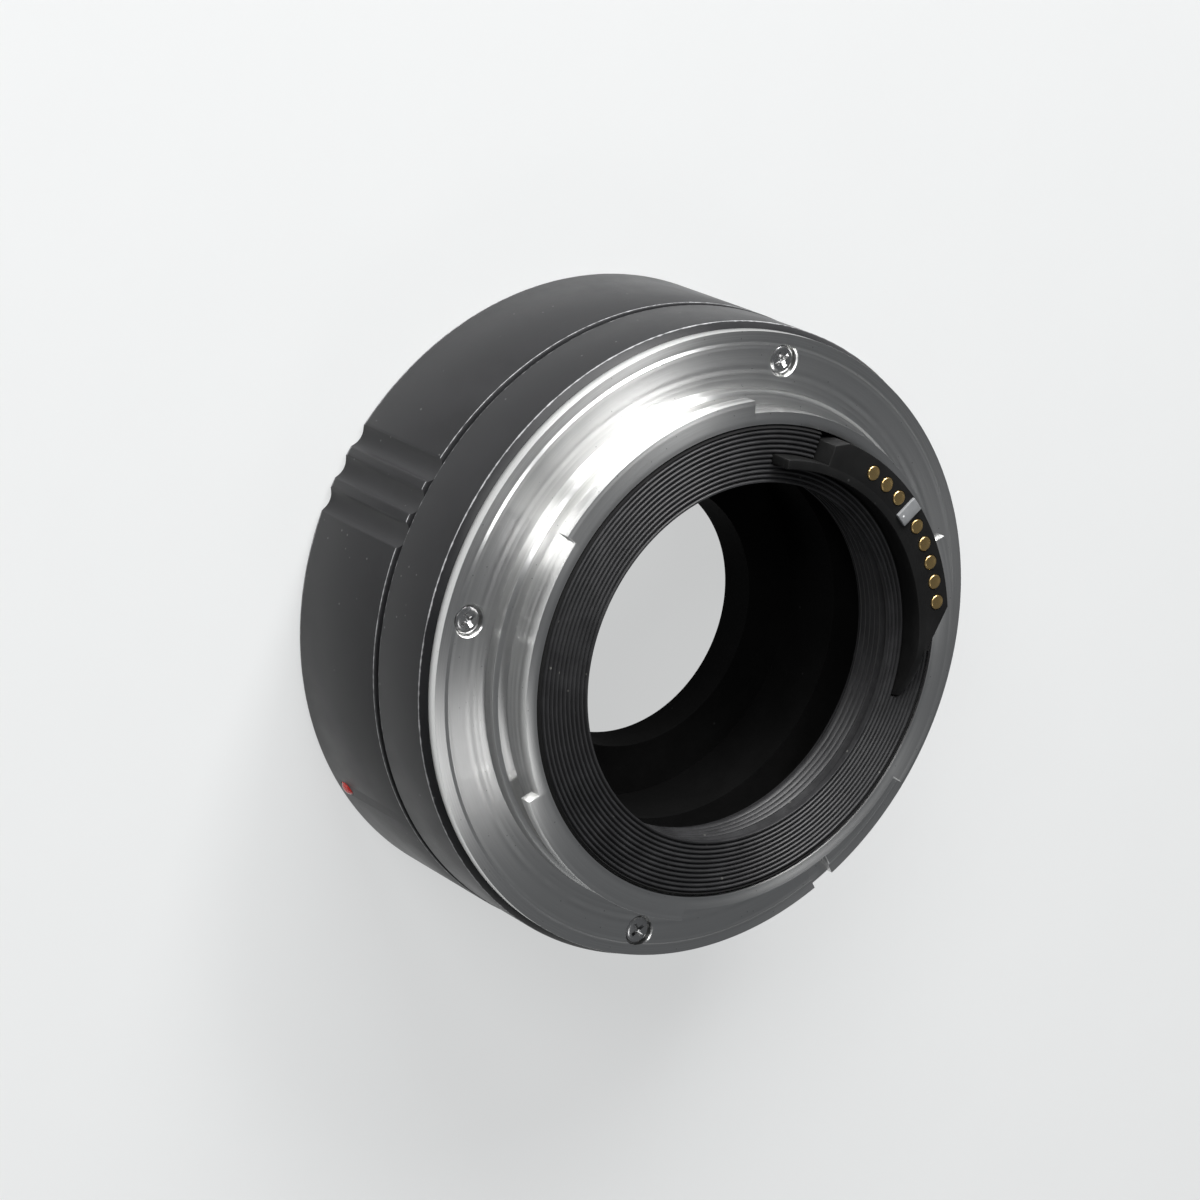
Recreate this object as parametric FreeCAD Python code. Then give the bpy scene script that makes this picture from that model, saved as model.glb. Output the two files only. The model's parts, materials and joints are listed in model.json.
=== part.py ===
import FreeCAD, Part
import math
import os

# Macro extension tube, 25 mm, for a 54 mm three-lug bayonet with eight contacts.
# Millimetres. Z runs along the optical axis: the lens seat is at z = 0 and the
# camera seat is above it. Angles are measured from +X, seen from the camera side.

# Overall sizes
body_length = 25.0          # lens seat face to camera seat face
throat_r = 27.05            # female throat between its tabs; every other radius follows it
fit_gap = 0.05              # radial clearance of turned parts that slide together
moving_gap = 0.05           # radial clearance round the pins that move
side_gap = 0.3              # room beside the other moving pieces

# Bayonet, both ends
pilot_gap = 0.1             # throat to the male pilot that centres in it
lug_gap = 0.15              # throat to the outside of the male lugs
lug_reach = 1.4             # throat to the male collar under the lugs
lug_thickness = 1.5
collar_wall = 1.25
tab_thickness = 1.45
lug_sectors = [(104.0, 157.5), (216.5, 271.3), (337.0, 395.3)]

# Camera side mount
flange_width = 5.45         # throat to the flange's rim
flange_thickness = 1.45
ledge_width = 1.1           # lowered outer edge of the flange
ledge_drop = 0.25
pilot_height = 1.75
pilot_chamfer = 0.4
collar_height = 5.25        # above the camera seat
collar_chamfer = 0.2
collar_relief = 0.08        # the collar is this much slimmer below its lugs
spigot_step = 0.25          # spigot outside the throat
spigot_length = 2.0
screw_inset = 2.65          # flange rim to the circle of the screws and the lock pin
screw_angles = [0.0, 90.0, 180.0, 270.0]
screw_head_r = 1.4
screw_head_height = 0.75
screw_sink = 0.25           # head top below the seat face
screw_shank_r = 0.85
screw_length = 6.0
counterbore_gap = 0.2       # head to the counterbore wall
driver_slot_width = 0.42
driver_slot_length = 1.7
driver_slot_depth = 0.4

# Lock pin, its slot in the camera side flange and the release slide
lock_angle = 314.4
lock_pin_r = 1.1
lock_pin_chamfer = 0.22
lock_slot_half_width = 1.25
lock_slot_depth = 1.1
lock_pin_length = 8.5
lock_stem_r = 0.6
lock_spring_room = 4.6      # yoke to the spring's stop
lock_stem_reach = 1.2       # stem past the stop at rest
lock_coil_r = 0.95
lock_wire_r = 0.16
lock_travel_out = 1.6       # the free pin stands this far out of the lens seat
lock_travel_in = 0.3
yoke_height = 1.6
yoke_width = 3.0
slide_width = 7.4
slide_length = 6.0
slide_thickness = 1.7
slide_gap = 0.15            # slide pad over the sleeve
slide_ribs = 5
slide_groove_width = 0.5
slide_groove_depth = 0.5
window_width = 3.4
window_margin = 0.5         # window past the yoke at each end of its travel

# Lens side mount
front_lip_inset = 0.85      # sleeve's outside to the lip
front_lip_height = 1.0
front_ring_gap = 0.1        # sleeve bore to the mount's body
front_mount_height = 3.8
tab_cavity_depth = 0.55     # throat to the wall behind the tabs
spring_thickness = 0.2
spring_bow = 0.6
spring_inset = 0.3
spring_margin_deg = 5.0
spring_lap_deg = 0.4        # foot laps the bowed leaf

# Chassis
chassis_step = 0.45         # chassis bore outside the throat
chassis_wall = 1.3
front_flange_height = 2.4
rear_flange_height = 2.25
shelf_reach = 1.2           # inwards from the collar bore
shelf_height = 1.45
ledge_reach = 2.6           # inwards from the chassis bore
ledge_height = 1.2
post_r = 1.1
stop_height = 1.3
stop_r = 2.2

# Front sleeve and rear barrel
sleeve_step = 0.1           # sleeve outside the barrel
sleeve_wall = 1.5
sleeve_front = 0.25         # sleeve edge behind the lens seat
seam_z = 14.9
seam_width = 0.35
seam_depth = 0.6
edge_chamfer = 0.3
barrel_overhang = 0.6       # barrel outside the flange
barrel_wall = 2.05
barrel_chamfer_width = 0.7
barrel_chamfer_length = 0.8
barrel_spigot_length = 2.0
flute_angles = [158.3, 164.4, 170.5]
flute_groups = [0.0, 180.0]
flute_r = 1.75
flute_depth = 0.62

# Index dots
dot_r = 0.8
dot_depth = 0.9
dot_rise = 0.35
lens_dot_angle = 225.3
lens_dot_z = 2.4
lock_turn = 60.0            # a lens turns this far from its dot to its lock
camera_dot_drop = 4.4       # below the camera seat

# Rear baffle
baffle_top = 5.35           # above the camera seat
baffle_face_inset = 0.35    # inwards from the collar bore
baffle_lip_land = 0.12      # past the last ridge
baffle_lip_reach = 0.2      # lip inside the bore
baffle_tube_wall = 1.15
baffle_plate = 1.45
baffle_bevel = 0.45
baffle_tube_length = 5.35
skirt_wall = 0.95
ridge_count = 11
ridge_inset = 0.4           # face edge to the middle of the outermost ridge
ridge_pitch = 0.498
ridge_crest = 0.15          # flat top of a ridge
ridge_depth = 0.28
bore_ridges = 5
bore_ridge_pitch = 0.75
bore_ridge_crest = 0.23
bore_ridge_depth = 0.25
lip_height = 0.55
lip_groove_depth = 0.45
lip_groove_width = 1.0

# Inner light shield
shield_hole_inset = 4.89    # inwards from the baffle's lip
shield_hole_flare = 0.44
shield_hole_front = 8.75
shield_floor_z = 11.2
shield_floor_thickness = 1.2
shield_step = 0.5           # shield tube outside the baffle tube
shield_wall = 1.0
shield_lip_wall = 1.1
shield_lip_taper = 0.4
shield_rim_thickness = 1.05
shield_rim_inset = 1.5
shield_rings = 6
shield_ring_pitch = 0.9
shield_ring_height = 0.3
shield_screw_angles = [95.0, 215.0, 335.0]
small_screw_r = 0.55
small_head_r = 1.0
small_head_height = 0.6

# Contacts, the same angles at both ends
contact_inset = 1.6         # inwards from the collar bore
contact_pitch_deg = 5.72
contact_first_deg = 68.7    # uppermost of the three
contact_gap_deg = 10.56     # from the last of the three to the first of the five
block_clearance = 0.2       # collar bore to the block
block_margin = 1.5          # contact circle to the block's inner wall
block_top = 7.8             # above the camera seat
block_lower_deg = 2.32      # past the last contact
block_nose_deg = 12.5       # the slanted lower end takes this much
block_upper_deg = 14.8      # past the first contact
block_corner_inset = 0.7    # the upper end has a cut corner
block_corner_deg = 4.0
stud_r = 0.75
stud_rise = 0.12
stud_chamfer = 0.1
stud_length = 3.0
guard_wall = 0.85
guard_lower_deg = 7.5       # full height to this far past the block
guard_fall_deg = 18.0       # its tail falls over this angle
guard_upper_deg = 13.8
base_lower_deg = 11.5
base_upper_deg = 4.5
base_thickness = 1.2
key_width = 1.6
key_height = 0.3
key_chamfer = 0.12
key_inset = 0.15
key_offset_deg = 0.12       # from the middle between the two groups

# Front contact block with its sprung pins
front_block_half = 1.9      # half of its width
front_block_lower_deg = 7.82
front_block_upper_deg = 8.3
front_block_face = 9.2
front_block_back = 14.6
ear_sweep_deg = 6.2
ear_thickness = 1.1
window_gap = 0.15
end_gap_deg = 0.4           # room past the ends of an arc-shaped piece
pin_tip_r = 0.6
pin_dome_r = 0.75
pin_dome_height = 0.3
pin_collar_r = 0.85
pin_bore_r = 0.95
pin_tip_z = 7.4
pin_neck_length = 0.85
pin_collar_length = 0.7
pin_travel = 1.2
coil_r = 0.62
coil_wire_r = 0.11
coil_turns = 6
cable_thickness = 0.2
cable_width = 8.0
cable_inset = 0.9           # inwards from the contact circle
cable_pad_inset = 0.6

# Worked out from the sizes above
pilot_r = throat_r - pilot_gap
lug_r = throat_r - lug_gap
collar_r = throat_r - lug_reach
collar_bore_r = collar_r - collar_wall
tab_bore_r = collar_r + pilot_gap
tab_cavity_r = throat_r + tab_cavity_depth
spigot_r = throat_r + spigot_step
flange_r = throat_r + flange_width
screw_circle_r = flange_r - screw_inset
lock_circle_r = screw_circle_r
barrel_r = flange_r + barrel_overhang
barrel_bore_r = barrel_r - barrel_wall
seam_r = barrel_r - seam_depth
sleeve_r = barrel_r + sleeve_step
sleeve_bore_r = sleeve_r - sleeve_wall
front_lip_r = sleeve_r - front_lip_inset
front_ring_r = sleeve_bore_r - front_ring_gap
chassis_bore_r = throat_r + chassis_step
shelf_bore_r = collar_bore_r - shelf_reach
ledge_bore_r = chassis_bore_r - ledge_reach
baffle_face_r = collar_bore_r - baffle_face_inset
ridge_r = baffle_face_r - ridge_inset
baffle_lip_r = ridge_r - ridge_pitch * (ridge_count - 1) - baffle_lip_land
baffle_bore_r = baffle_lip_r + baffle_lip_reach
shield_hole_r = baffle_lip_r - shield_hole_inset
shield_tube_r = baffle_bore_r + baffle_tube_wall + shield_step
shield_screw_circle_r = chassis_bore_r - ledge_reach / 2
contact_circle_r = collar_bore_r - contact_inset
block_outer_r = collar_bore_r - block_clearance
block_inner_r = contact_circle_r - block_margin
block_corner_r = block_outer_r - block_corner_inset
front_block_inner_r = contact_circle_r - front_block_half
front_block_outer_r = contact_circle_r + front_block_half
cable_r = contact_circle_r - cable_inset
contact_third_deg = contact_first_deg - contact_pitch_deg * 2
contact_fourth_deg = contact_third_deg - contact_gap_deg
contact_last_deg = contact_fourth_deg - contact_pitch_deg * 4
contact_angles = [contact_first_deg - contact_pitch_deg * i for i in range(3)]
contact_angles += [contact_fourth_deg - contact_pitch_deg * i for i in range(5)]
key_angle = (contact_third_deg + contact_fourth_deg) / 2 + key_offset_deg
block_start = contact_last_deg - block_lower_deg
block_nose = block_start - block_nose_deg
block_end = contact_first_deg + block_upper_deg
guard_full = block_start - guard_lower_deg
guard_start = guard_full - guard_fall_deg
guard_end = block_end + guard_upper_deg
base_start = block_start - base_lower_deg
base_end = block_end + base_upper_deg
front_block_start = contact_last_deg - front_block_lower_deg
front_block_end = contact_first_deg + front_block_upper_deg
seat_z = body_length
flange_z = seat_z - flange_thickness
collar_top = seat_z + collar_height
baffle_z = seat_z + baffle_top
camera_dot_z = seat_z - camera_dot_drop
block_z = seat_z + block_top
chassis_front = front_mount_height
chassis_rear = flange_z - fit_gap
rear_flange_z = chassis_rear - rear_flange_height
spigot_z = flange_z - spigot_length
shelf_top = spigot_z - fit_gap
shelf_z = shelf_top - shelf_height
chassis_wall_r = chassis_bore_r + chassis_wall
front_flange_r = sleeve_bore_r - fit_gap
rear_flange_r = barrel_bore_r - fit_gap
floor_back = shield_floor_z + shield_floor_thickness
baffle_plate_z = baffle_z - baffle_plate
base_z = baffle_plate_z - base_thickness
base_outer_r = collar_bore_r - fit_gap - skirt_wall - side_gap
front_block_mid = (front_block_start + front_block_end) / 2
yoke_z = lock_pin_length
yoke_top = yoke_z + yoke_height
stop_z = yoke_top + lock_spring_room
lock_stem_length = lock_spring_room + stop_height + lock_stem_reach
ear_z = shield_floor_z - ear_thickness
ear_circle_r = (front_block_inner_r + front_block_outer_r) / 2
ear_angles = (front_block_start - ear_sweep_deg / 2, front_block_end + ear_sweep_deg / 2)
pin_neck_top = front_block_face + pin_neck_length


def ring(r_in, r_out, z0, z1):
    """A plain tube, or a disc when the inner radius is zero."""
    solid = Part.makeCylinder(r_out, z1 - z0, FreeCAD.Vector(0, 0, z0))
    if r_in > 0:
        solid = solid.cut(Part.makeCylinder(r_in, z1 - z0, FreeCAD.Vector(0, 0, z0)))
    return solid


def turned(points):
    """A closed (r, z) profile turned about the optical axis."""
    path = [FreeCAD.Vector(r, 0, z) for r, z in points]
    face = Part.Face(Part.makePolygon(path + path[:1]))
    return face.revolve(FreeCAD.Vector(0, 0, 0), FreeCAD.Vector(0, 0, 1), 360)


def wedge(start, end, z0, z1):
    """A pie slice used to keep or cut a sector of a ring."""
    reach = sleeve_r + slide_gap + slide_thickness * 2
    slice_ = Part.makeCylinder(reach, z1 - z0, FreeCAD.Vector(0, 0, z0), FreeCAD.Vector(0, 0, 1), end - start)
    return slice_.rotate(FreeCAD.Vector(0, 0, 0), FreeCAD.Vector(0, 0, 1), start)


def sector(r_in, r_out, z0, z1, start, end):
    """Part of a ring between two angles."""
    return ring(r_in, r_out, z0, z1).common(wedge(start, end, z0, z1))


def spot(radius, angle, z):
    """The point at a radius, an angle in degrees and a height."""
    turn = math.radians(angle)
    return FreeCAD.Vector(radius * math.cos(turn), radius * math.sin(turn), z)


def rod(radius, angle, circle_r, z0, z1):
    """An upright cylinder that stands on a circle round the axis."""
    return Part.makeCylinder(radius, z1 - z0, spot(circle_r, angle, z0))


def block(width, length, height, angle, near_r, z0):
    """A box whose length runs outwards from near_r at the given angle."""
    box = Part.makeBox(length, width, height, FreeCAD.Vector(near_r, -width / 2, z0))
    return box.rotate(FreeCAD.Vector(0, 0, 0), FreeCAD.Vector(0, 0, 1), angle)


def joined(shapes):
    """One solid, or a group of solids, from several that meet."""
    solid = shapes[0]
    for other in shapes[1:]:
        solid = solid.fuse(other)
    return solid.removeSplitter()


def export(name, shape):
    """Write one node."""
    shape.exportStep("parts/" + name + ".step")


# Fasteners

def crossed_screw(angle, circle_r, top_z, down):
    """Pan screw with a cross recess. Its head top is at top_z and down is -1 or 1."""
    head_end = top_z + down * screw_head_height
    tip = head_end + down * screw_length
    head = rod(screw_head_r, angle, circle_r, min(top_z, head_end), max(top_z, head_end))
    shank = rod(screw_shank_r, angle, circle_r, min(head_end, tip), max(head_end, tip))
    screw = joined([head, shank])
    slot_z = min(top_z, top_z + down * driver_slot_depth)
    near_r = circle_r - driver_slot_length / 2
    slot = block(driver_slot_width, driver_slot_length, driver_slot_depth, angle, near_r, slot_z)
    centre = spot(circle_r, angle, 0)
    for quarter in (45, 135):
        screw = screw.cut(slot.copy().rotate(centre, FreeCAD.Vector(0, 0, 1), quarter))
    return screw


def small_screw(angle, circle_r, head_z, length):
    """Small screw put in from the lens side, with its head under head_z."""
    head = rod(small_head_r, angle, circle_r, head_z - small_head_height, head_z)
    shank = rod(small_screw_r, angle, circle_r, head_z, head_z + length)
    slot = block(driver_slot_width, small_head_r * 4, driver_slot_depth / 2, angle,
                 circle_r - small_head_r * 2, head_z - small_head_height)
    return joined([head, shank]).cut(slot)


def screw_group(top_z, down):
    return Part.makeCompound([crossed_screw(a, screw_circle_r, top_z, down) for a in screw_angles])


# Camera side mount

def rear_mount():
    ledge_r = flange_r - ledge_width
    ledge_z = seat_z - ledge_drop
    pilot_top = seat_z + pilot_height
    lug_z = collar_top - lug_thickness
    body = turned([
        (collar_bore_r, spigot_z),
        (spigot_r, spigot_z),
        (spigot_r, flange_z),
        (flange_r, flange_z),
        (flange_r, ledge_z),
        (ledge_r, ledge_z),
        (ledge_r - ledge_drop, seat_z),
        (pilot_r, seat_z),
        (pilot_r, pilot_top - pilot_chamfer),
        (pilot_r - pilot_chamfer, pilot_top),
        (collar_r - collar_relief, pilot_top),
        (collar_r - collar_relief, lug_z),
        (collar_r, lug_z),
        (collar_r, collar_top - collar_chamfer),
        (collar_r - collar_chamfer, collar_top),
        (collar_bore_r, collar_top),
    ])
    lugs = [sector(collar_bore_r, lug_r, lug_z, collar_top, a, b) for a, b in lug_sectors]
    body = joined([body] + lugs)
    head_floor = seat_z - screw_sink - screw_head_height
    for angle in screw_angles:
        hole_r = screw_head_r + counterbore_gap
        body = body.cut(rod(hole_r, angle, screw_circle_r, head_floor, seat_z + fit_gap))
        body = body.cut(rod(screw_shank_r + fit_gap, angle, screw_circle_r, flange_z, seat_z))
    slot_floor = seat_z - lock_slot_depth
    slot = rod(lock_slot_half_width, lock_angle, lock_circle_r, slot_floor, seat_z)
    run_out = block(lock_slot_half_width * 2, flange_r - lock_circle_r + ledge_width, lock_slot_depth,
                    lock_angle, lock_circle_r, slot_floor)
    return body.cut(slot).cut(run_out)


# Lens side mount

def front_mount():
    body = turned([
        (throat_r, 0),
        (front_lip_r, 0),
        (front_lip_r, front_lip_height),
        (front_ring_r, front_lip_height),
        (front_ring_r, front_mount_height),
        (tab_cavity_r, front_mount_height),
        (tab_cavity_r, tab_thickness),
        (throat_r, tab_thickness),
    ])
    tabs = [sector(tab_bore_r, tab_cavity_r, 0, tab_thickness, a, b) for a, b in lug_sectors]
    body = joined([body] + tabs)
    head_floor = screw_sink + screw_head_height
    for angle in screw_angles:
        body = body.cut(rod(screw_head_r + counterbore_gap, angle, screw_circle_r, -fit_gap, head_floor))
        body = body.cut(rod(screw_shank_r + fit_gap, angle, screw_circle_r, 0, front_mount_height))
    pin_hole = rod(lock_pin_r + moving_gap, lock_angle, lock_circle_r, 0, front_mount_height)
    return body.cut(pin_hole)


def mount_springs():
    """Three bowed leaf springs that press a lens's lugs against the tabs."""
    springs = []
    seat = front_mount_height
    inner_r = tab_bore_r + spring_inset
    outer_r = chassis_bore_r + chassis_wall / 2
    for start, end in lug_sectors:
        first = start + spring_margin_deg
        last = end - spring_margin_deg
        middle = (first + last) / 2
        half_chord = inner_r * math.sin(math.radians((last - first) / 2))
        bend_r = (half_chord ** 2 + spring_bow ** 2) / (2 * spring_bow)
        low = seat - spring_bow
        along = spot(1, middle, 0)
        foot = FreeCAD.Vector(0, 0, low + bend_r)
        shell = Part.makeCylinder(bend_r, sleeve_r, foot, along)
        shell = shell.cut(Part.makeCylinder(bend_r - spring_thickness, sleeve_r, foot, along))
        free_r = tab_cavity_r - fit_gap
        leaf = sector(inner_r, free_r, low, seat + spring_thickness, first, last).common(shell)
        feet = [sector(inner_r, outer_r, seat, seat + spring_thickness, a, b)
                for a, b in ((start, first + spring_lap_deg), (last - spring_lap_deg, end))]
        springs.append(joined([leaf] + feet))
    return Part.makeCompound(springs)


# Chassis and covers

def chassis():
    front_top = chassis_front + front_flange_height
    body = joined([
        ring(chassis_bore_r, chassis_wall_r, chassis_front, chassis_rear),
        ring(chassis_bore_r, front_flange_r, chassis_front, front_top),
        ring(chassis_bore_r, rear_flange_r, rear_flange_z, chassis_rear),
        ring(shelf_bore_r, chassis_wall_r, shelf_z, shelf_top),
        ring(ledge_bore_r, chassis_wall_r, floor_back, floor_back + ledge_height),
    ])
    posts = [rod(post_r, angle, screw_circle_r, chassis_front, chassis_rear) for angle in screw_angles]
    stop = rod(stop_r, lock_angle, lock_circle_r, stop_z, stop_z + stop_height)
    stop = stop.common(ring(chassis_bore_r, rear_flange_r, stop_z, stop_z + stop_height))
    body = joined([body, stop] + posts)
    front_tip = screw_sink + screw_head_height + screw_length
    rear_tip = seat_z - front_tip
    for angle in screw_angles:
        hole_r = screw_shank_r + fit_gap
        body = body.cut(rod(hole_r, angle, screw_circle_r, chassis_front, front_tip + fit_gap))
        body = body.cut(rod(hole_r, angle, screw_circle_r, rear_tip - fit_gap, chassis_rear))
    for start, end in lug_sectors:
        recess_r = chassis_bore_r + chassis_wall / 2 + fit_gap
        recess_top = chassis_front + spring_thickness + fit_gap
        body = body.cut(sector(chassis_bore_r, recess_r, chassis_front, recess_top, start, end))
    body = body.cut(rod(lock_pin_r + moving_gap, lock_angle, lock_circle_r, chassis_front, front_top))
    body = body.cut(rod(lock_stem_r + moving_gap, lock_angle, lock_circle_r, stop_z, stop_z + stop_height))
    for angle in shield_screw_angles:
        body = body.cut(rod(small_screw_r, angle, shield_screw_circle_r, floor_back, floor_back + ledge_height))
    near_r = lock_circle_r - lock_pin_r - side_gap
    groove = block(yoke_width + side_gap * 2, front_flange_r - near_r, stop_z - front_top, lock_angle,
                   near_r, front_top)
    body = body.cut(groove)
    cable_gap = cable_width / 2 + side_gap
    relief = sector(shelf_bore_r, front_block_outer_r + window_gap, floor_back, front_block_back + window_gap,
                    front_block_start - end_gap_deg * 2, front_block_end + end_gap_deg * 2)
    channel = block(cable_gap * 2, shelf_bore_r, shelf_height, front_block_mid, 0, shelf_z)
    channel = channel.common(ring(0, shelf_bore_r + fit_gap, shelf_z, shelf_top))
    return body.cut(relief).cut(channel)


def flute_tools(z0, z1):
    """Round cutters for the grip flutes of the sleeve."""
    centre_r = sleeve_r + flute_r - flute_depth
    return [rod(flute_r, angle + group, centre_r, z0, z1) for group in flute_groups for angle in flute_angles]


def front_sleeve():
    body = turned([
        (front_lip_r + fit_gap, sleeve_front),
        (sleeve_r - edge_chamfer, sleeve_front),
        (sleeve_r, sleeve_front + edge_chamfer),
        (sleeve_r, seam_z - edge_chamfer),
        (sleeve_r - edge_chamfer, seam_z),
        (sleeve_bore_r, seam_z),
        (sleeve_bore_r, front_lip_height),
        (front_lip_r + fit_gap, front_lip_height),
    ])
    for tool in flute_tools(0, seam_z + seam_width):
        body = body.cut(tool)
    body = body.cut(rod_radial(dot_r, lens_dot_angle, lens_dot_z, sleeve_r - dot_depth, sleeve_r))
    low = yoke_z - lock_travel_out - window_margin
    high = yoke_top + lock_travel_in + window_margin
    window = block(window_width, sleeve_r, high - low, lock_angle, chassis_wall_r, low)
    return body.cut(window)


def rear_barrel():
    rear = flange_z
    spigot_out = sleeve_bore_r - fit_gap
    body = turned([
        (barrel_bore_r, seam_z - barrel_spigot_length),
        (spigot_out, seam_z - barrel_spigot_length),
        (spigot_out, seam_z),
        (seam_r, seam_z),
        (seam_r, seam_z + seam_width),
        (barrel_r - edge_chamfer / 2, seam_z + seam_width),
        (barrel_r, seam_z + seam_width + edge_chamfer / 2),
        (barrel_r, rear - barrel_chamfer_length),
        (barrel_r - barrel_chamfer_width, rear),
        (barrel_bore_r, rear),
    ])
    dot_angle = lens_dot_angle + lock_turn
    return body.cut(rod_radial(dot_r, dot_angle, camera_dot_z, barrel_r - dot_depth, barrel_r))


# Index dots

def rod_radial(radius, angle, z, r0, r1):
    """A cylinder that points outwards from r0 past r1."""
    return Part.makeCylinder(radius, r1 - r0 + radius, spot(r0, angle, z), spot(1, angle, 0))


def index_dot(angle, z, surface_r):
    """A bead with a domed top, set in a blind hole of a cover."""
    stem = Part.makeCylinder(dot_r, dot_depth, spot(surface_r - dot_depth, angle, z), spot(1, angle, 0))
    dome_r = (dot_r ** 2 + dot_rise ** 2) / (2 * dot_rise)
    dome = Part.makeSphere(dome_r, spot(surface_r + dot_rise - dome_r, angle, z))
    cap = Part.makeCylinder(dot_r, dot_rise * 2, spot(surface_r, angle, z), spot(1, angle, 0)).common(dome)
    return joined([stem, cap])


# Rear baffle and contacts

def rear_baffle():
    skirt_r = collar_bore_r - fit_gap
    tube_end = baffle_z - baffle_tube_length
    tube_r = baffle_bore_r + baffle_tube_wall
    lip_z = baffle_z - lip_height
    groove_r = baffle_bore_r + lip_groove_depth
    points = [
        (skirt_r - skirt_wall, shelf_top),
        (skirt_r, shelf_top),
        (skirt_r, baffle_z - baffle_bevel),
        (baffle_face_r, baffle_z),
    ]
    for i in range(ridge_count):
        r = ridge_r - ridge_pitch * i
        points += [(r + ridge_pitch / 2, baffle_z - ridge_depth), (r + ridge_crest / 2, baffle_z)]
        points += [(r - ridge_crest / 2, baffle_z)]
    points += [(baffle_lip_r, baffle_z), (baffle_lip_r, lip_z), (groove_r, lip_z)]
    z = lip_z - lip_groove_width
    points += [(groove_r, z)]
    crest_end = (bore_ridge_pitch + bore_ridge_crest) / 2
    for i in range(bore_ridges):
        points += [(baffle_bore_r, z - crest_end + bore_ridge_crest), (baffle_bore_r, z - crest_end)]
        z -= bore_ridge_pitch
        points += [(baffle_bore_r + bore_ridge_depth, z)]
    points += [
        (baffle_bore_r, tube_end),
        (tube_r, tube_end),
        (tube_r, baffle_plate_z),
        (skirt_r - skirt_wall, baffle_plate_z),
    ]
    body = turned(points)
    slot_inner_r = block_inner_r - guard_wall - fit_gap
    block_slot = sector(slot_inner_r, collar_bore_r, baffle_plate_z, baffle_z,
                        block_nose - end_gap_deg, block_end + end_gap_deg)
    guard_slot = sector(slot_inner_r, block_inner_r + fit_gap, baffle_plate_z, baffle_z,
                        guard_start - end_gap_deg, guard_end + end_gap_deg)
    return body.cut(block_slot).cut(guard_slot)


def rear_contact_block():
    """Moulded block with the guard wall inside it and a base under the baffle's face."""
    guard_r = block_inner_r - guard_wall
    outline = [
        spot(0, 0, baffle_plate_z),
        spot(block_inner_r, block_nose, baffle_plate_z),
        spot(block_outer_r, block_start, baffle_plate_z),
        spot(block_outer_r * 2, key_angle, baffle_plate_z),
        spot(block_outer_r, block_end - block_corner_deg, baffle_plate_z),
        spot(block_corner_r, block_end, baffle_plate_z),
    ]
    plan = Part.Face(Part.makePolygon(outline + outline[:1]))
    plan = plan.extrude(FreeCAD.Vector(0, 0, block_z - baffle_plate_z))
    upper = ring(block_inner_r, block_outer_r, baffle_plate_z, block_z).common(plan)
    drop = block_z - baffle_z
    run = block_inner_r * math.sin(math.radians(guard_full - guard_start))
    bend_r = (run ** 2 + drop ** 2) / (2 * drop)
    fall = Part.makeCylinder(bend_r, sleeve_r, spot(0, 0, block_z - bend_r), spot(1, guard_full, 0))
    guard = sector(guard_r, block_inner_r, baffle_plate_z, block_z, guard_full, guard_end)
    tail = sector(guard_r, block_inner_r, baffle_plate_z, block_z, guard_start, guard_full).common(fall)
    base = sector(guard_r, base_outer_r, base_z, baffle_plate_z, base_start, base_end)
    body = joined([upper, guard, tail, base])
    for angle in contact_angles:
        body = body.cut(rod(stud_r, angle, contact_circle_r, block_z - stud_length, block_z))
    return body


def rear_contact(angle):
    """One gold stud with an eased rim, flush in the block but for its top."""
    top = block_z + stud_rise
    stud = rod(stud_r, angle, contact_circle_r, block_z - stud_length, top)
    rim = [edge for edge in stud.Edges if abs(edge.CenterOfMass.z - top) < 1e-6]
    return stud.makeChamfer(stud_chamfer, rim)


def contact_key():
    """Raised rib between the group of three contacts and the group of five."""
    length = block_outer_r - block_inner_r - key_inset * 2
    rib = block(key_width, length, key_height, key_angle, block_inner_r + key_inset, block_z)
    edges = [edge for edge in rib.Edges if abs(edge.CenterOfMass.z - block_z - key_height) < 1e-6]
    return rib.makeChamfer(key_chamfer, edges)


# Light shield, front contact block, pins and cable

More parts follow.
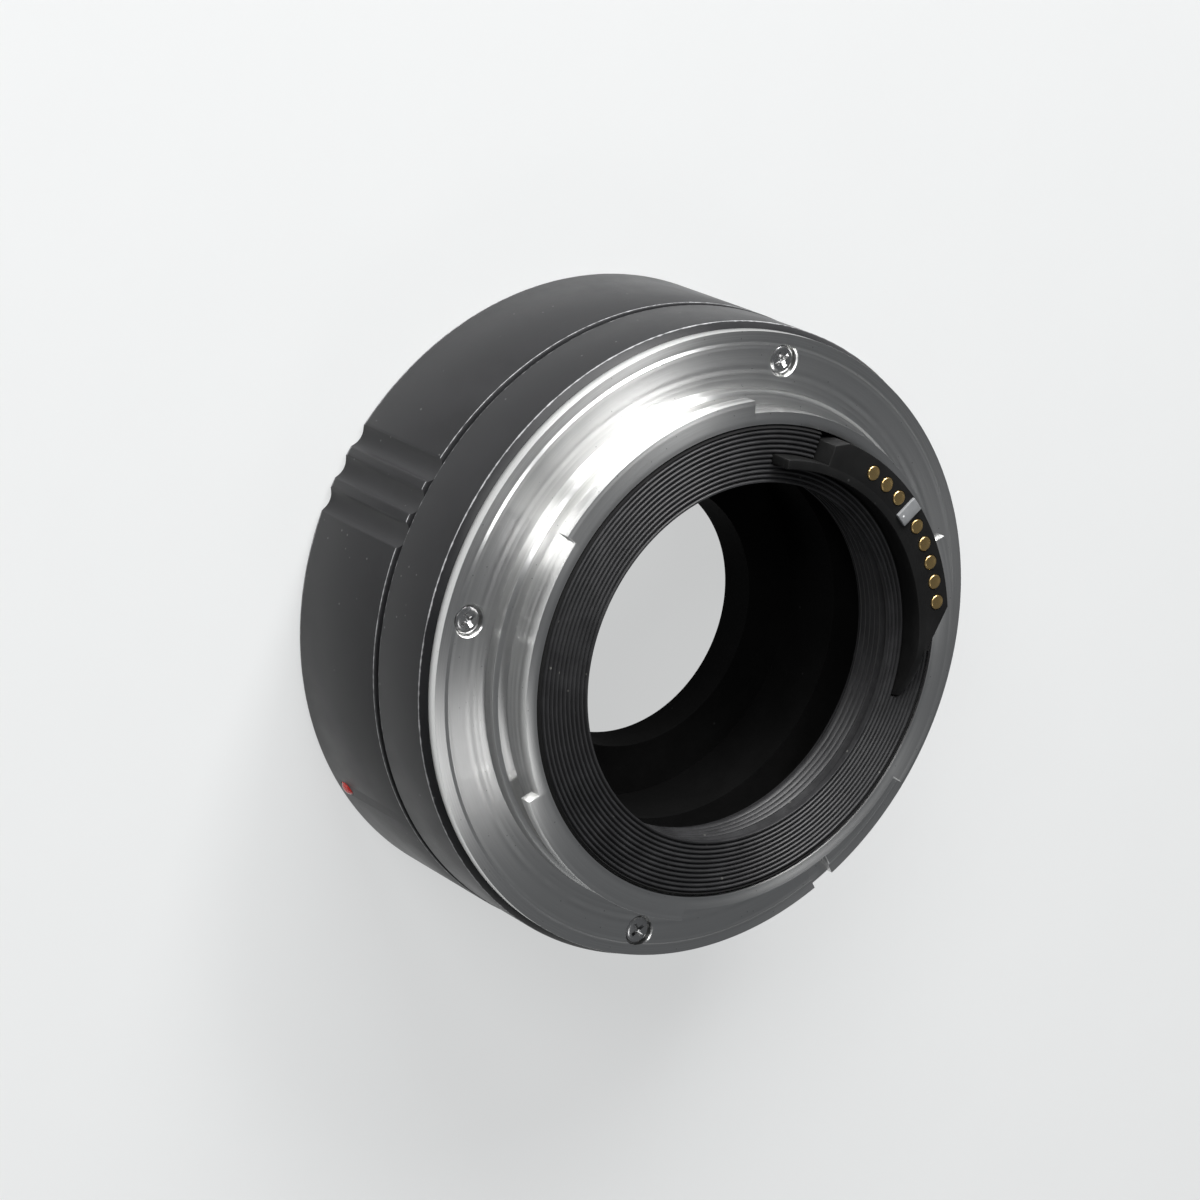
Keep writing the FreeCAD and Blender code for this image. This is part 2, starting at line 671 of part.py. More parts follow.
def light_shield():
    """Cup behind the rear baffle, with the narrow round hole that the light passes."""
    hole_back = shield_hole_r + shield_hole_flare
    lip_r = hole_back + shield_lip_wall
    rim_z = shelf_z - shield_rim_thickness
    outer_r = chassis_bore_r - fit_gap
    rim_r = outer_r - shield_rim_inset
    body = turned([
        (hole_back, floor_back),
        (shield_hole_r, shield_hole_front),
        (lip_r - shield_lip_taper, shield_hole_front),
        (lip_r, shield_floor_z),
        (outer_r, shield_floor_z),
        (outer_r, floor_back),
        (shield_tube_r, floor_back),
        (shield_tube_r, rim_z),
        (rim_r, rim_z),
        (rim_r, shelf_z),
        (shield_tube_r - shield_wall, shelf_z),
        (shield_tube_r - shield_wall, floor_back),
    ])
    rings = []
    floor_low = shield_floor_z - shield_ring_height
    for i in range(shield_rings):
        r = lip_r + shield_ring_pitch * (i + 1)
        rings.append(ring(r, r + shield_ring_pitch / 2, floor_low, shield_floor_z))
    body = joined([body] + rings)
    near_r = front_block_inner_r - window_gap
    far_r = front_block_outer_r + window_gap
    first = front_block_start - end_gap_deg
    last = front_block_end + end_gap_deg
    body = body.cut(sector(near_r, far_r, floor_low, floor_back, first, last))
    body = body.cut(sector(near_r, far_r, floor_low, shield_floor_z,
                           first - ear_sweep_deg, last + ear_sweep_deg))
    for angle in shield_screw_angles:
        body = body.cut(rod(small_screw_r + fit_gap, angle, shield_screw_circle_r, floor_low, floor_back))
    for angle in ear_angles:
        body = body.cut(rod(small_screw_r, angle, ear_circle_r, shield_floor_z, floor_back))
    cable_room = block(cable_width + side_gap * 2, cable_width, shield_rim_thickness, front_block_mid,
                       shield_tube_r + fit_gap, rim_z)
    return body.cut(cable_room)


def front_contact_block():
    """Moulded block that carries the eight sprung pins, held by its two ears."""
    body = joined([
        sector(front_block_inner_r, front_block_outer_r, front_block_face, front_block_back,
               front_block_start, front_block_end),
        sector(front_block_inner_r, front_block_outer_r, ear_z, shield_floor_z,
               front_block_start - ear_sweep_deg, front_block_end + ear_sweep_deg),
    ])
    for angle in contact_angles:
        body = body.cut(rod(pin_tip_r + moving_gap, angle, contact_circle_r, front_block_face, pin_neck_top))
        body = body.cut(rod(pin_bore_r, angle, contact_circle_r, pin_neck_top, front_block_back))
    for angle in ear_angles:
        body = body.cut(rod(small_screw_r + fit_gap, angle, ear_circle_r, ear_z, shield_floor_z))
    return body


def front_contact_pin(angle):
    """Sprung pin with a domed tip and a collar that stops it in its block."""
    dome_end = pin_tip_z + pin_dome_height
    body = rod(pin_tip_r, angle, contact_circle_r, dome_end, pin_neck_top)
    dome = Part.makeSphere(pin_dome_r, spot(contact_circle_r, angle, pin_tip_z + pin_dome_r))
    tip = rod(pin_tip_r, angle, contact_circle_r, pin_tip_z, dome_end).common(dome)
    collar = rod(pin_collar_r, angle, contact_circle_r, pin_neck_top, pin_neck_top + pin_collar_length)
    return joined([tip, body, collar])


def coil(radius, wire_r, z0, z1, turns, angle, circle_r):
    """A coil spring with plain ends that stands on the circle between two heights."""
    low = z0 + wire_r
    high = z1 - wire_r
    helix = Part.makeHelix((high - low) / turns, high - low, radius)
    start = FreeCAD.Vector(radius, 0, 0)
    profile = Part.Wire([Part.makeCircle(wire_r, start, FreeCAD.Vector(0, 1, 0))])
    spring = Part.Wire(helix).makePipeShell([profile], True, True)
    spring.translate(spot(circle_r, angle, low))
    return spring


def front_contact_spring(angle):
    collar_top_z = pin_neck_top + pin_collar_length
    return coil(coil_r, coil_wire_r, collar_top_z, front_block_back, coil_turns, angle, contact_circle_r)


def contact_cable():
    """Flat cable from the back of the front block to the base of the rear block."""
    inner = front_block_inner_r + cable_pad_inset
    low_pad = sector(inner, front_block_outer_r - cable_pad_inset, front_block_back,
                     front_block_back + cable_thickness, front_block_start, front_block_end)
    high_pad = sector(block_inner_r - guard_wall, base_outer_r, base_z - cable_thickness, base_z,
                      base_start, base_end)
    strip = block(cable_width, cable_thickness, base_z - front_block_back, front_block_mid, cable_r,
                  front_block_back)
    return joined([low_pad, strip, high_pad])


# Lock pin, yoke and release slide

def lock_pin():
    pin = rod(lock_pin_r, lock_angle, lock_circle_r, 0, yoke_z)
    rim = [edge for edge in pin.Edges if abs(edge.CenterOfMass.z) < 1e-6]
    pin = pin.makeChamfer(lock_pin_chamfer, rim)
    stem = rod(lock_stem_r, lock_angle, lock_circle_r, yoke_z, yoke_top + lock_stem_length)
    return joined([pin, stem])


def release_yoke():
    """Arm that ties the pin to the slide through the window in the sleeve."""
    inner = lock_circle_r - lock_pin_r
    outer = sleeve_r + slide_gap
    arm = block(yoke_width, outer - inner, yoke_height, lock_angle, inner, yoke_z)
    arm = arm.common(ring(0, outer, yoke_z, yoke_top))
    return arm.cut(rod(lock_stem_r, lock_angle, lock_circle_r, yoke_z, yoke_top))


def release_slide():
    """Ribbed pad that a finger pulls to draw the lock pin in."""
    middle = yoke_z + yoke_height / 2
    low = middle - slide_length / 2
    near = sleeve_r + slide_gap
    pad = ring(near, near + slide_thickness, low, low + slide_length)
    half_turn = math.degrees(math.asin(slide_width / 2 / near))
    pad = pad.common(wedge(lock_angle - half_turn, lock_angle + half_turn, low, low + slide_length))
    pitch = slide_length / (slide_ribs + 1)
    outer = near + slide_thickness
    for i in range(slide_ribs):
        z = low + pitch * (i + 1) - slide_groove_width / 2
        pad = pad.cut(ring(outer - slide_groove_depth, outer + slide_gap, z, z + slide_groove_width))
    return pad


def lock_spring():
    return coil(lock_coil_r, lock_wire_r, yoke_top, stop_z, coil_turns, lock_angle, lock_circle_r)


def build():
    os.makedirs("parts", exist_ok=True)
    export("rear_mount", rear_mount())
    export("rear_mount_screws", screw_group(seat_z - screw_sink, -1))
    export("front_mount", front_mount())
    export("front_mount_screws", screw_group(screw_sink, 1))
    export("mount_springs", mount_springs())
    export("chassis", chassis())
    export("front_sleeve", front_sleeve())
    export("rear_barrel", rear_barrel())
    export("lens_index_dot", index_dot(lens_dot_angle, lens_dot_z, sleeve_r))
    export("camera_index_dot", index_dot(lens_dot_angle + lock_turn, camera_dot_z, barrel_r))
    export("rear_baffle", rear_baffle())
    export("rear_contact_block", rear_contact_block())
    export("contact_key", contact_key())
    export("light_shield", light_shield())
    export("front_contact_block", front_contact_block())
    export("contact_cable", contact_cable())
    export("shield_screws", Part.makeCompound([
        small_screw(a, shield_screw_circle_r, shield_floor_z, shield_floor_thickness + ledge_height)
        for a in shield_screw_angles]))
    export("front_block_screws", Part.makeCompound([
        small_screw(a, ear_circle_r, ear_z, ear_thickness + shield_floor_thickness) for a in ear_angles]))
    for number, angle in enumerate(contact_angles, 1):
        export("rear_contact_" + str(number), rear_contact(angle))
        export("front_contact_pin_" + str(number), front_contact_pin(angle))
        export("front_contact_spring_" + str(number), front_contact_spring(angle))
    export("lock_pin", lock_pin())
    export("release_yoke", release_yoke())
    export("release_slide", release_slide())
    export("lock_spring", lock_spring())


build()
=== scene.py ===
import json
import math

import bmesh
import bpy
from mathutils import Matrix, Vector


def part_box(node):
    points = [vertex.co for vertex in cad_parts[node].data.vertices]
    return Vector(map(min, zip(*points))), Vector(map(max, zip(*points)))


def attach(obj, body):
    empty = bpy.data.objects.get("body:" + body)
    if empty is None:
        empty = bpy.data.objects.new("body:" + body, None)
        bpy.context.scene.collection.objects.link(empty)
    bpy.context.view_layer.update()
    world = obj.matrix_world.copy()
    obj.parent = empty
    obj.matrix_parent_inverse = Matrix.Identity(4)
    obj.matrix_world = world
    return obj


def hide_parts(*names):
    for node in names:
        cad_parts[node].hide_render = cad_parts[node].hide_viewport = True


bl_info = {
    "name": "Extension tube maker",
    "version": (1, 0, 0),
    "blender": (4, 5, 0),
    "location": "3D View > Sidebar > Tube",
    "description": "Models the visible pieces of a 25 mm extension tube and finishes them",
    "category": "Add Mesh",
}

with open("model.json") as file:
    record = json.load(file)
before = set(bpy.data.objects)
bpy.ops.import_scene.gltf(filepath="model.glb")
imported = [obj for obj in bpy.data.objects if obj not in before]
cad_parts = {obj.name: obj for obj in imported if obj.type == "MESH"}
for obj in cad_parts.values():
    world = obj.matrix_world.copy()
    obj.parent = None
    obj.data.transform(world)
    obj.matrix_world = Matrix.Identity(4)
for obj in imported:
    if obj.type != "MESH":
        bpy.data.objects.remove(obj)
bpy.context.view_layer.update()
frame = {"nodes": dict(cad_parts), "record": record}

MM = 0.001
STEPS = 720                     # facets round a turned piece, half a degree each
SMALL_STEPS = 96                # facets round a screw, a stud or a cutter of holes
BEAD_STEPS = 72                 # facets round an index bead and its seat
STUD_HOLE_STEPS = 60            # facets round a stud's hole
WELD = MM / 2000                # points nearer than this are one point
FACING = 0.9                    # share of its normal along a direction from which a face looks that way
FIT = 0.05 * MM                 # play between two pieces that fit together
OVERLAP = 0.1 * MM              # how far a cutter or a piece reaches past a face
MOUTH_WIDTH = 0.2 * MM          # flare of a screw's or the pin's hole at its mouth
MOUTH_DEPTH = 0.12 * MM         # from a mount's face down to where a screw pocket flares
MOUTH_RISE = 0.08 * MM          # from a mount's face up to the end of the pocket's cutter
BARREL_SPIGOT = 2.0 * MM        # length of the barrel's part inside the sleeve

# Places round the axis, in degrees
SCREW_ANGLES = [0.0, 90.0, 180.0, 270.0]
LUG_SECTORS = [(104.0, 157.5), (216.5, 271.3), (337.0, 395.3)]
BASE_SECTOR = (10.0, 88.0)              # the contact block's base behind the baffle's face
FRONT_BLOCK_SECTOR = (15.6, 77.4)       # room through the shield's floor for the front contact block
FRONT_EARS_SECTOR = (9.4, 83.6)         # room under that floor for the same block's ears
FRONT_BLOCK_ROOM = (20.75 * MM, 24.85 * MM)     # both rooms' inner and outer radius

MOUNTS = {mount["name"]: mount for mount in frame["record"]["mounts"]}
SEAT_Z = MOUNTS["camera_seat"]["pos_m"][2]
PILOT_R = MOUNTS["camera_pilot"]["dims"]["r_mm"] * MM
SLEEVE_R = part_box("front_sleeve")[1].x
SEAM_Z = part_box("rear_barrel")[0].z + BARREL_SPIGOT
BLOCK_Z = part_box("rear_contact_block")[1].z


# Sizes and colours that a user would change

def metres(value, about):
    """A length given in metres, shown in the scene's own unit."""
    return bpy.props.FloatProperty(description=about, default=value, min=0.0, precision=5, unit="LENGTH")


def length(value, about):
    """A length given in millimetres."""
    return metres(value * MM, about)


def angle(degrees, about):
    """An angle measured from +X, seen from the camera side."""
    return bpy.props.FloatProperty(description=about, default=math.radians(degrees), subtype="ANGLE",
                                   unit="ROTATION")


def whole(value, most, about):
    """A whole number."""
    return bpy.props.IntProperty(description=about, default=value, min=1, max=most)


def colour(value, about):
    """A base colour."""
    return bpy.props.FloatVectorProperty(description=about, default=value, size=3, min=0.0, max=1.0,
                                         subtype="COLOR")


def label_of(name):
    """A label from a property's name, such as Sleeve radius from sleeve_r."""
    words = {"r": "radius", "z": "height"}
    return " ".join(words.get(word, word) for word in name.split("_")).capitalize()


class TubeSizes(bpy.types.PropertyGroup):
    """Sizes of the visible pieces"""

    sleeve_r: metres(SLEEVE_R, "Outside of the front sleeve")
    sleeve_bore_r: length(31.7, "Inside of the front sleeve")
    sleeve_front: length(0.25, "Front edge of the sleeve above the lens seat")
    lip_r: length(32.35, "Outside of the lens side mount's lip")
    lip_height: length(1.0, "Thickness of the lens side mount's lip")
    seam_z: metres(SEAM_Z, "Where the sleeve ends and the barrel begins")
    seam_width: length(0.35, "Width of the groove between sleeve and barrel")
    seam_r: length(32.5, "Floor of the groove between sleeve and barrel")
    barrel_r: length(33.1, "Outside of the rear barrel")
    barrel_bore_r: length(31.05, "Inside of the rear barrel")
    barrel_chamfer_width: length(0.7, "Chamfer beside the flange, inwards")
    barrel_chamfer_length: length(0.8, "The same chamfer, along the axis")
    edge_chamfer: length(0.3, "Chamfer of the sleeve's own edges")
    flange_r: length(32.5, "Outside of the camera side flange")
    flange_thickness: length(1.45, "Height of the flange wall")
    ledge_width: length(1.1, "Lowered outer edge of the flange")
    ledge_drop: length(0.25, "How far the outer edge is lowered")
    pilot_r: metres(PILOT_R, "Step that centres in the camera's throat")
    pilot_height: length(1.75, "Height of the pilot above the seat")
    pilot_chamfer: length(0.4, "Lead-in chamfer of the pilot")
    collar_r: length(25.65, "Outside of the collar between its lugs")
    collar_relief: length(0.08, "How much slimmer the collar is below its lugs")
    collar_bore_r: length(24.4, "Inside of the collar")
    collar_height: length(5.25, "Top of the collar above the seat")
    lug_r: length(26.9, "Outside of the lugs")
    lug_thickness: length(1.5, "Height of the lugs")
    spigot_r: length(27.3, "Part of the mount that sits in the chassis")
    spigot_length: length(2.0, "Length of the spigot below the flange")
    screw_circle_r: length(29.85, "Circle that the screws stand on")
    screw_head_r: length(1.4, "Outside of a mount screw's head")
    screw_head_height: length(0.75, "Height of a mount screw's head")
    screw_sink: length(0.25, "Head top below the seat face")
    screw_shank_r: length(0.85, "Outside of a mount screw's thread")
    screw_length: length(6.0, "Length of a mount screw under its head")
    counterbore_r: length(1.6, "Pocket round a screw head")
    lock_angle: angle(314.4, "Where the lock pin and its slot are")
    lock_slot_r: length(1.25, "Half of the lock slot's width")
    lock_slot_depth: length(1.1, "Depth of the lock slot")
    lock_pin_r: length(1.15, "Hole that the lock pin runs in")
    throat_r: length(27.05, "Throat of the lens side mount")
    tab_bore_r: length(25.75, "Inside of the lens side tabs")
    tab_thickness: length(1.45, "Height of the lens side tabs")
    tab_cavity_r: length(27.6, "Room behind the tabs for a lens's lugs")
    ring_r: length(31.6, "Outside of the lens side mount behind its lip")
    ring_height: length(3.8, "Height of the lens side mount")
    flute_r: length(1.75, "Radius of a grip flute")
    flute_depth: length(0.62, "Depth of a grip flute")
    flute_angle: angle(158.3, "First grip flute")
    flute_pitch: angle(6.1, "Turn between grip flutes")
    dot_r: length(0.8, "Radius of an index bead")
    dot_rise: length(0.35, "How far an index bead stands proud")
    lens_dot_angle: angle(225.3, "Where the lens side bead is")
    lens_dot_z: length(2.4, "Height of the lens side bead")
    camera_dot_angle: angle(285.3, "Where the camera side bead is")
    camera_dot_z: length(20.6, "Height of the camera side bead")
    baffle_top: length(5.35, "Baffle's face above the camera seat")
    baffle_face_r: length(24.05, "Outer edge of the baffle's face")
    baffle_lip_r: length(18.55, "Inner edge of the baffle's face")
    baffle_bore_r: length(18.75, "Bore under the lip")
    baffle_bevel: length(0.45, "Height of the bevel round the face")
    baffle_plate: length(1.45, "Thickness of the face")
    baffle_tube_wall: length(1.15, "Thickness of the inner tube")
    baffle_tube_length: length(5.35, "Length of the inner tube from the face")
    skirt_wall: length(0.95, "Thickness of the outer skirt")
    skirt_z: length(21.5, "Height of the skirt's foot")
    ridge_r: length(23.65, "Middle of the outermost ridge")
    ridge_pitch: length(0.498, "Distance from ridge to ridge")
    ridge_crest: length(0.15, "Flat top of a ridge")
    ridge_depth: length(0.28, "Depth between ridges")
    ridge_count: whole(11, 40, "Ridges on the baffle's face")
    bore_ridge_count: whole(5, 20, "Ridges down the baffle's bore")
    bore_ridge_pitch: length(0.75, "Distance between the bore's ridges")
    bore_ridge_crest: length(0.23, "Flat top of a bore ridge")
    bore_ridge_depth: length(0.25, "Depth between the bore's ridges")
    lip_drop: length(0.55, "Thickness of the lip at the bore's mouth")
    lip_groove_depth: length(0.45, "Depth of the groove under the lip")
    lip_groove_width: length(1.0, "Width of the groove under the lip")
    block_z: metres(BLOCK_Z, "Top of the contact block")
    block_outer_r: length(24.2, "Outside of the contact block")
    block_inner_r: length(21.3, "Inside of the contact block")
    block_nose: angle(9.0, "Where the slanted end of the block starts")
    block_start: angle(21.5, "Where the block reaches its full width")
    block_end: angle(83.5, "Cut corner's inner end")
    block_corner: angle(4.0, "Turn of the cut corner")
    block_corner_r: length(23.5, "Cut corner's radius at the block's end")
    guard_wall: length(0.85, "Thickness of the guard inside the block")
    guard_start: angle(-4.0, "Where the guard rises from the face")
    guard_full: angle(14.0, "Where the guard reaches the block's height")
    guard_end: angle(97.3, "Where the guard ends")
    contact_circle_r: length(22.8, "Circle that the contacts stand on")
    contact_pitch: angle(5.72, "Turn between contacts")
    contact_first: angle(68.7, "Uppermost of the three contacts")
    contact_second: angle(46.7, "Uppermost of the five contacts")
    stud_r: length(0.75, "Radius of a contact stud")
    stud_rise: length(0.12, "How far a stud stands proud")
    stud_length: length(3.0, "Length of a stud below the block's face")
    key_angle: angle(52.1, "Where the grey rib is")
    key_width: length(1.6, "Width of the grey rib")
    key_height: length(0.3, "Height of the grey rib")
    key_inset: length(0.15, "Rib's ends inside the block's edges")
    shield_hole_r: length(13.66, "Hole that the light passes")
    shield_hole_back_r: length(14.1, "The same hole at the floor's camera side")
    shield_front: length(8.75, "Front edge of the hole's lip")
    shield_floor_z: length(11.2, "Lens side of the shield's floor")
    shield_floor: length(1.2, "Thickness of the shield's floor")
    shield_r: length(27.45, "Outside of the shield's floor")
    shield_tube_r: length(20.4, "Outside of the shield's tube")
    shield_wall: length(1.0, "Thickness of the shield's tube")
    shield_lip: length(1.1, "Thickness of the hole's lip")
    shield_taper: length(0.4, "How much the lip narrows to its edge")
    shield_rim: length(1.05, "Thickness of the shield's camera side rim")
    shield_rim_r: length(25.95, "Outside of the shield's camera side rim")
    shield_rim_z: length(20.05, "Top of the shield's camera side rim")
    shield_ring_pitch: length(0.9, "Distance between the floor's rings")
    shield_ring_height: length(0.3, "Height of the floor's rings")
    slide_width: length(7.4, "Width of the release slide")
    slide_length: length(6.0, "Length of the release slide")
    slide_thickness: length(1.7, "Thickness of the release slide")


class TubeColours(bpy.types.PropertyGroup):
    """Base colours of the finishes"""

    mount_metal: colour((0.80, 0.80, 0.79), "Turned and plated bayonet metal")
    screw_steel: colour((0.62, 0.62, 0.62), "Nickelled screw heads")
    sleeve_black: colour((0.016, 0.016, 0.017), "Satin anodised sleeve")
    barrel_black: colour((0.014, 0.014, 0.015), "Satin anodised barrel")
    baffle_black: colour((0.022, 0.022, 0.023), "Ridged moulding")
    moulding_black: colour((0.009, 0.009, 0.009), "Contact block")
    shield_black: colour((0.004, 0.004, 0.004), "Dead matt inside")
    key_grey: colour((0.20, 0.205, 0.21), "Rib between the contacts")
    contact_gold: colour((0.92, 0.65, 0.28), "Plated contacts")
    index_red: colour((0.80, 0.03, 0.02), "Index beads")
    cable_amber: colour((0.55, 0.30, 0.07), "Flat cable")
    floor: colour((0.86, 0.87, 0.87), "Floor and backdrop")


# Modelling steps

def clear_selection():
    """Leave edit mode and deselect everything."""
    if bpy.context.object and bpy.context.object.mode != "OBJECT":
        bpy.ops.object.mode_set(mode="OBJECT")
    bpy.ops.object.select_all(action="DESELECT")


def take(piece):
    """Select one piece alone and make it the active one."""
    clear_selection()
    piece.select_set(True)
    bpy.context.view_layer.objects.active = piece


def edit(piece):
    """Open one piece alone for editing."""
    take(piece)
    bpy.ops.object.mode_set(mode="EDIT")


def leave_edit():
    """Go back to object mode."""
    bpy.ops.object.mode_set(mode="OBJECT")


def clear_away(piece):
    """Delete a piece that has served its turn."""
    take(piece)
    bpy.ops.object.delete()


def name_piece(piece, name):
    """Name an object and its mesh alike."""
    piece.name = name
    piece.data.name = name


def start_outline(name):
    """One free point at the origin, open for editing."""
    clear_selection()
    bpy.ops.mesh.primitive_plane_add(size=MM, location=(0, 0, 0))
    piece = bpy.context.object
    name_piece(piece, name)
    edit(piece)
    bpy.ops.mesh.select_mode(type="VERT")
    bpy.ops.mesh.select_all(action="SELECT")
    bpy.ops.mesh.merge(type="CENTER")
    return piece


def draw_outline(points):
    """Extrude the selected point along a list of places."""
    here = Vector(points[0])
    bpy.ops.transform.translate(value=here)
    for point in points[1:]:
        step = Vector(point) - here
        bpy.ops.mesh.extrude_region_move(TRANSFORM_OT_translate={"value": step})
        here = Vector(point)


def weld():
    """Merge what meets and point every face outwards."""
    bpy.ops.mesh.select_all(action="SELECT")
    bpy.ops.mesh.remove_doubles(threshold=WELD)
    bpy.ops.mesh.select_all(action="SELECT")
    bpy.ops.mesh.normals_make_consistent(inside=False)


def settle(piece):
    """Put the piece's place and turn into its mesh."""
    take(piece)
    bpy.ops.object.transform_apply(location=True, rotation=True, scale=True)


def swing(piece, turned):
    """Turn a piece round the optical axis by an angle in radians."""
    piece.rotation_euler.z = turned
    settle(piece)


def place(piece, circle_r, degrees, z=0.0):
    """Carry a piece that was made on the axis out to a circle round it."""
    turned = math.radians(degrees)
    piece.location = (circle_r * math.cos(turned), circle_r * math.sin(turned), z)
    swing(piece, turned)


def point_out(piece, turned, z):
    """Lay a piece that was made along the axis so that it points away from it, at some height."""
    piece.rotation_euler = (0.0, math.pi / 2, turned)
    piece.location.z = z
    settle(piece)


def turn(name, points, start=0.0, end=360.0, steps=STEPS, pole=False):
    """Draw an (r, z) outline and spin it about the optical axis.

    A full turn gives a ring, a part turn gives a sector with flat ends, and with pole the outline starts
    and ends on the axis."""
    piece = start_outline(name)
    draw_outline([(r, 0.0, z) for r, z in points])
    bpy.ops.mesh.select_all(action="SELECT")
    full = end - start >= 360.0
    if not pole:
        bpy.ops.mesh.edge_face_add()
        if full:
            bpy.ops.mesh.delete(type="ONLY_FACE")
            bpy.ops.mesh.select_all(action="SELECT")
    count = max(1, round(steps * (end - start) / 360.0))
    bpy.ops.mesh.spin(steps=count, angle=-math.radians(end - start), center=(0, 0, 0), axis=(0, 0, 1))
    weld()
    leave_edit()
    if start:
        swing(piece, math.radians(start))
    return piece


def sector(name, inner_r, outer_r, low, high, first, last):
    """A block that follows an arc between two angles in degrees, with flat ends."""
    return turn(name, [(inner_r, low), (outer_r, low), (outer_r, high), (inner_r, high)], first, last)


def extrude_plan(name, points, low, high):
    """Draw a closed outline on the XY plane at low and extrude it up to high."""
    piece = start_outline(name)
    draw_outline([(x, y, low) for x, y in points])
    bpy.ops.mesh.select_all(action="SELECT")
    bpy.ops.mesh.edge_face_add()
    bpy.ops.mesh.select_all(action="SELECT")
    bpy.ops.mesh.extrude_region_move(TRANSFORM_OT_translate={"value": (0, 0, high - low)})
    weld()
    leave_edit()
    return piece


def slab(name, near, far, half, low, high):
    """A straight block from near to far along X, reaching half to either side of it."""
    return extrude_plan(name, [(near, -half), (far, -half), (far, half), (near, half)], low, high)


def copy_of(piece, name):
    """A copy with its own mesh."""
    take(piece)
    bpy.ops.object.duplicate(linked=False)
    double = bpy.context.object
    name_piece(double, name)
    return double


def join(pieces, name):
    """Join several pieces into the first one."""
    clear_selection()
    for piece in pieces:
        piece.select_set(True)
    bpy.context.view_layer.objects.active = pieces[0]
    bpy.ops.object.join()
    name_piece(pieces[0], name)
    return pieces[0]


def pick_faces(piece, test):
    """In edit mode, select the faces that pass a test of their middle and normal."""
    bpy.ops.mesh.select_mode(type="FACE")
    bpy.ops.mesh.select_all(action="DESELECT")
    shape = bmesh.from_edit_mesh(piece.data)
    for face in shape.faces:
        face.select_set(test(face.calc_center_median(), face.normal))
    bmesh.update_edit_mesh(piece.data)


def scale_across(along_x, along_y):
    """Scale what is selected about the optical axis, at its own height."""
    bpy.ops.transform.resize(value=(along_x, along_y, 1.0), center_override=(0, 0, 0))


def scale_end(piece, direction, along_x, along_y):
    """Scale the face of a piece that looks up (1) or down (-1)."""
    edit(piece)
    pick_faces(piece, lambda middle, normal: normal.z * direction > FACING)
    scale_across(along_x, along_y)
    leave_edit()


def turn_of(point):
    """Angle of a point round the axis, in degrees from 0 to 360."""
    return math.degrees(math.atan2(point.y, point.x)) % 360.0


def within(point, sectors):
    """Whether a point lies in one of several sectors, which may pass 360 degrees."""
    here = turn_of(point)
    return any(a <= here <= b or a <= here + 360.0 <= b for a, b in sectors)


def raise_sectors(piece, wall_r, low, high, sectors, new_r):
    """Push part of a round wall out or in to a new radius, within some sectors."""
    side = 1.0 if new_r > wall_r else -1.0

    def on_wall(middle, normal):
        radius = math.hypot(middle.x, middle.y)
        out = (middle.x * normal.x + middle.y * normal.y) / radius
        near = abs(radius - wall_r) < 0.02 * MM and low < middle.z < high
        return near and out * side > FACING and within(middle, sectors)

    edit(piece)
    pick_faces(piece, on_wall)
    bpy.ops.mesh.extrude_region_move(TRANSFORM_OT_translate={"value": (0, 0, 0)})
    scale_across(new_r / wall_r, new_r / wall_r)
    leave_edit()


def ease_edges(piece, width, corner=30.0, segments=2):
    """Round every edge sharper than the corner angle."""
    take(piece)
    bpy.ops.object.modifier_add(type="BEVEL")
    bevel = piece.modifiers[-1]
    bevel.width = width
    bevel.segments = segments
    bevel.limit_method = "ANGLE"
    bevel.angle_limit = math.radians(corner)
    bevel.harden_normals = False
    bpy.ops.object.modifier_apply(modifier=bevel.name)


def carve(piece, tool, operation="DIFFERENCE"):
    """Cut a tool out of a piece, or join the two, and clear the tool away."""
    take(piece)
    bpy.ops.object.modifier_add(type="BOOLEAN")
    cut = piece.modifiers[-1]
    cut.operation = operation
    cut.solver = "EXACT"
    cut.object = tool
    bpy.ops.object.modifier_apply(modifier=cut.name)
    clear_away(tool)


def drill(piece, profile, circle_r, angles, steps=SMALL_STEPS):
    """Cut a round hole of some (r, z) profile at each of some angles on a circle round the axis."""
    for degrees in angles:
        tool = turn("hole_tool", profile, steps=steps, pole=True)
        place(tool, circle_r, degrees)
        carve(piece, tool)


def paint(piece, slot):
    """Give a piece the material of one name, and no other."""
    piece.data.materials.clear()
    piece.data.materials.append(bpy.data.materials[slot])


def finish(piece, body, slot, replaced, smooth=30.0):
    """Shade, paint and register a finished piece, which takes the place of some CAD nodes."""
    take(piece)
    bpy.ops.object.shade_smooth_by_angle(angle=math.radians(smooth))
    paint(piece, slot)
    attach(piece, body)
    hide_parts(*replaced)


# Shader node groups

def new_group(name, numbers, outputs):
    """A shader node group over a vector and some numbers, with its input node and its output node."""
    group = bpy.data.node_groups.new(name, "ShaderNodeTree")
    group.interface.new_socket("Vector", in_out="INPUT", socket_type="NodeSocketVector")
    for label, value in numbers.items():
        socket = group.interface.new_socket(label, in_out="INPUT", socket_type="NodeSocketFloat")
        socket.default_value = value
    for label in outputs:
        group.interface.new_socket(label, in_out="OUTPUT", socket_type="NodeSocketFloat")
    return group, group.nodes.new("NodeGroupInput"), group.nodes.new("NodeGroupOutput")


def wire(tree, source, target):
    """Link an output to an input."""
    tree.links.new(source, target)


def math_node(tree, operation, first, second=None, clamp=False):
    """A Math node fed by sockets or numbers. It returns its output."""
    node = tree.nodes.new("ShaderNodeMath")
    node.operation = operation
    node.use_clamp = clamp
    for socket, value in zip(node.inputs, (first, second)):
        if isinstance(value, (int, float)):
            socket.default_value = value
        elif value is not None:
            wire(tree, value, socket)
    return node.outputs[0]


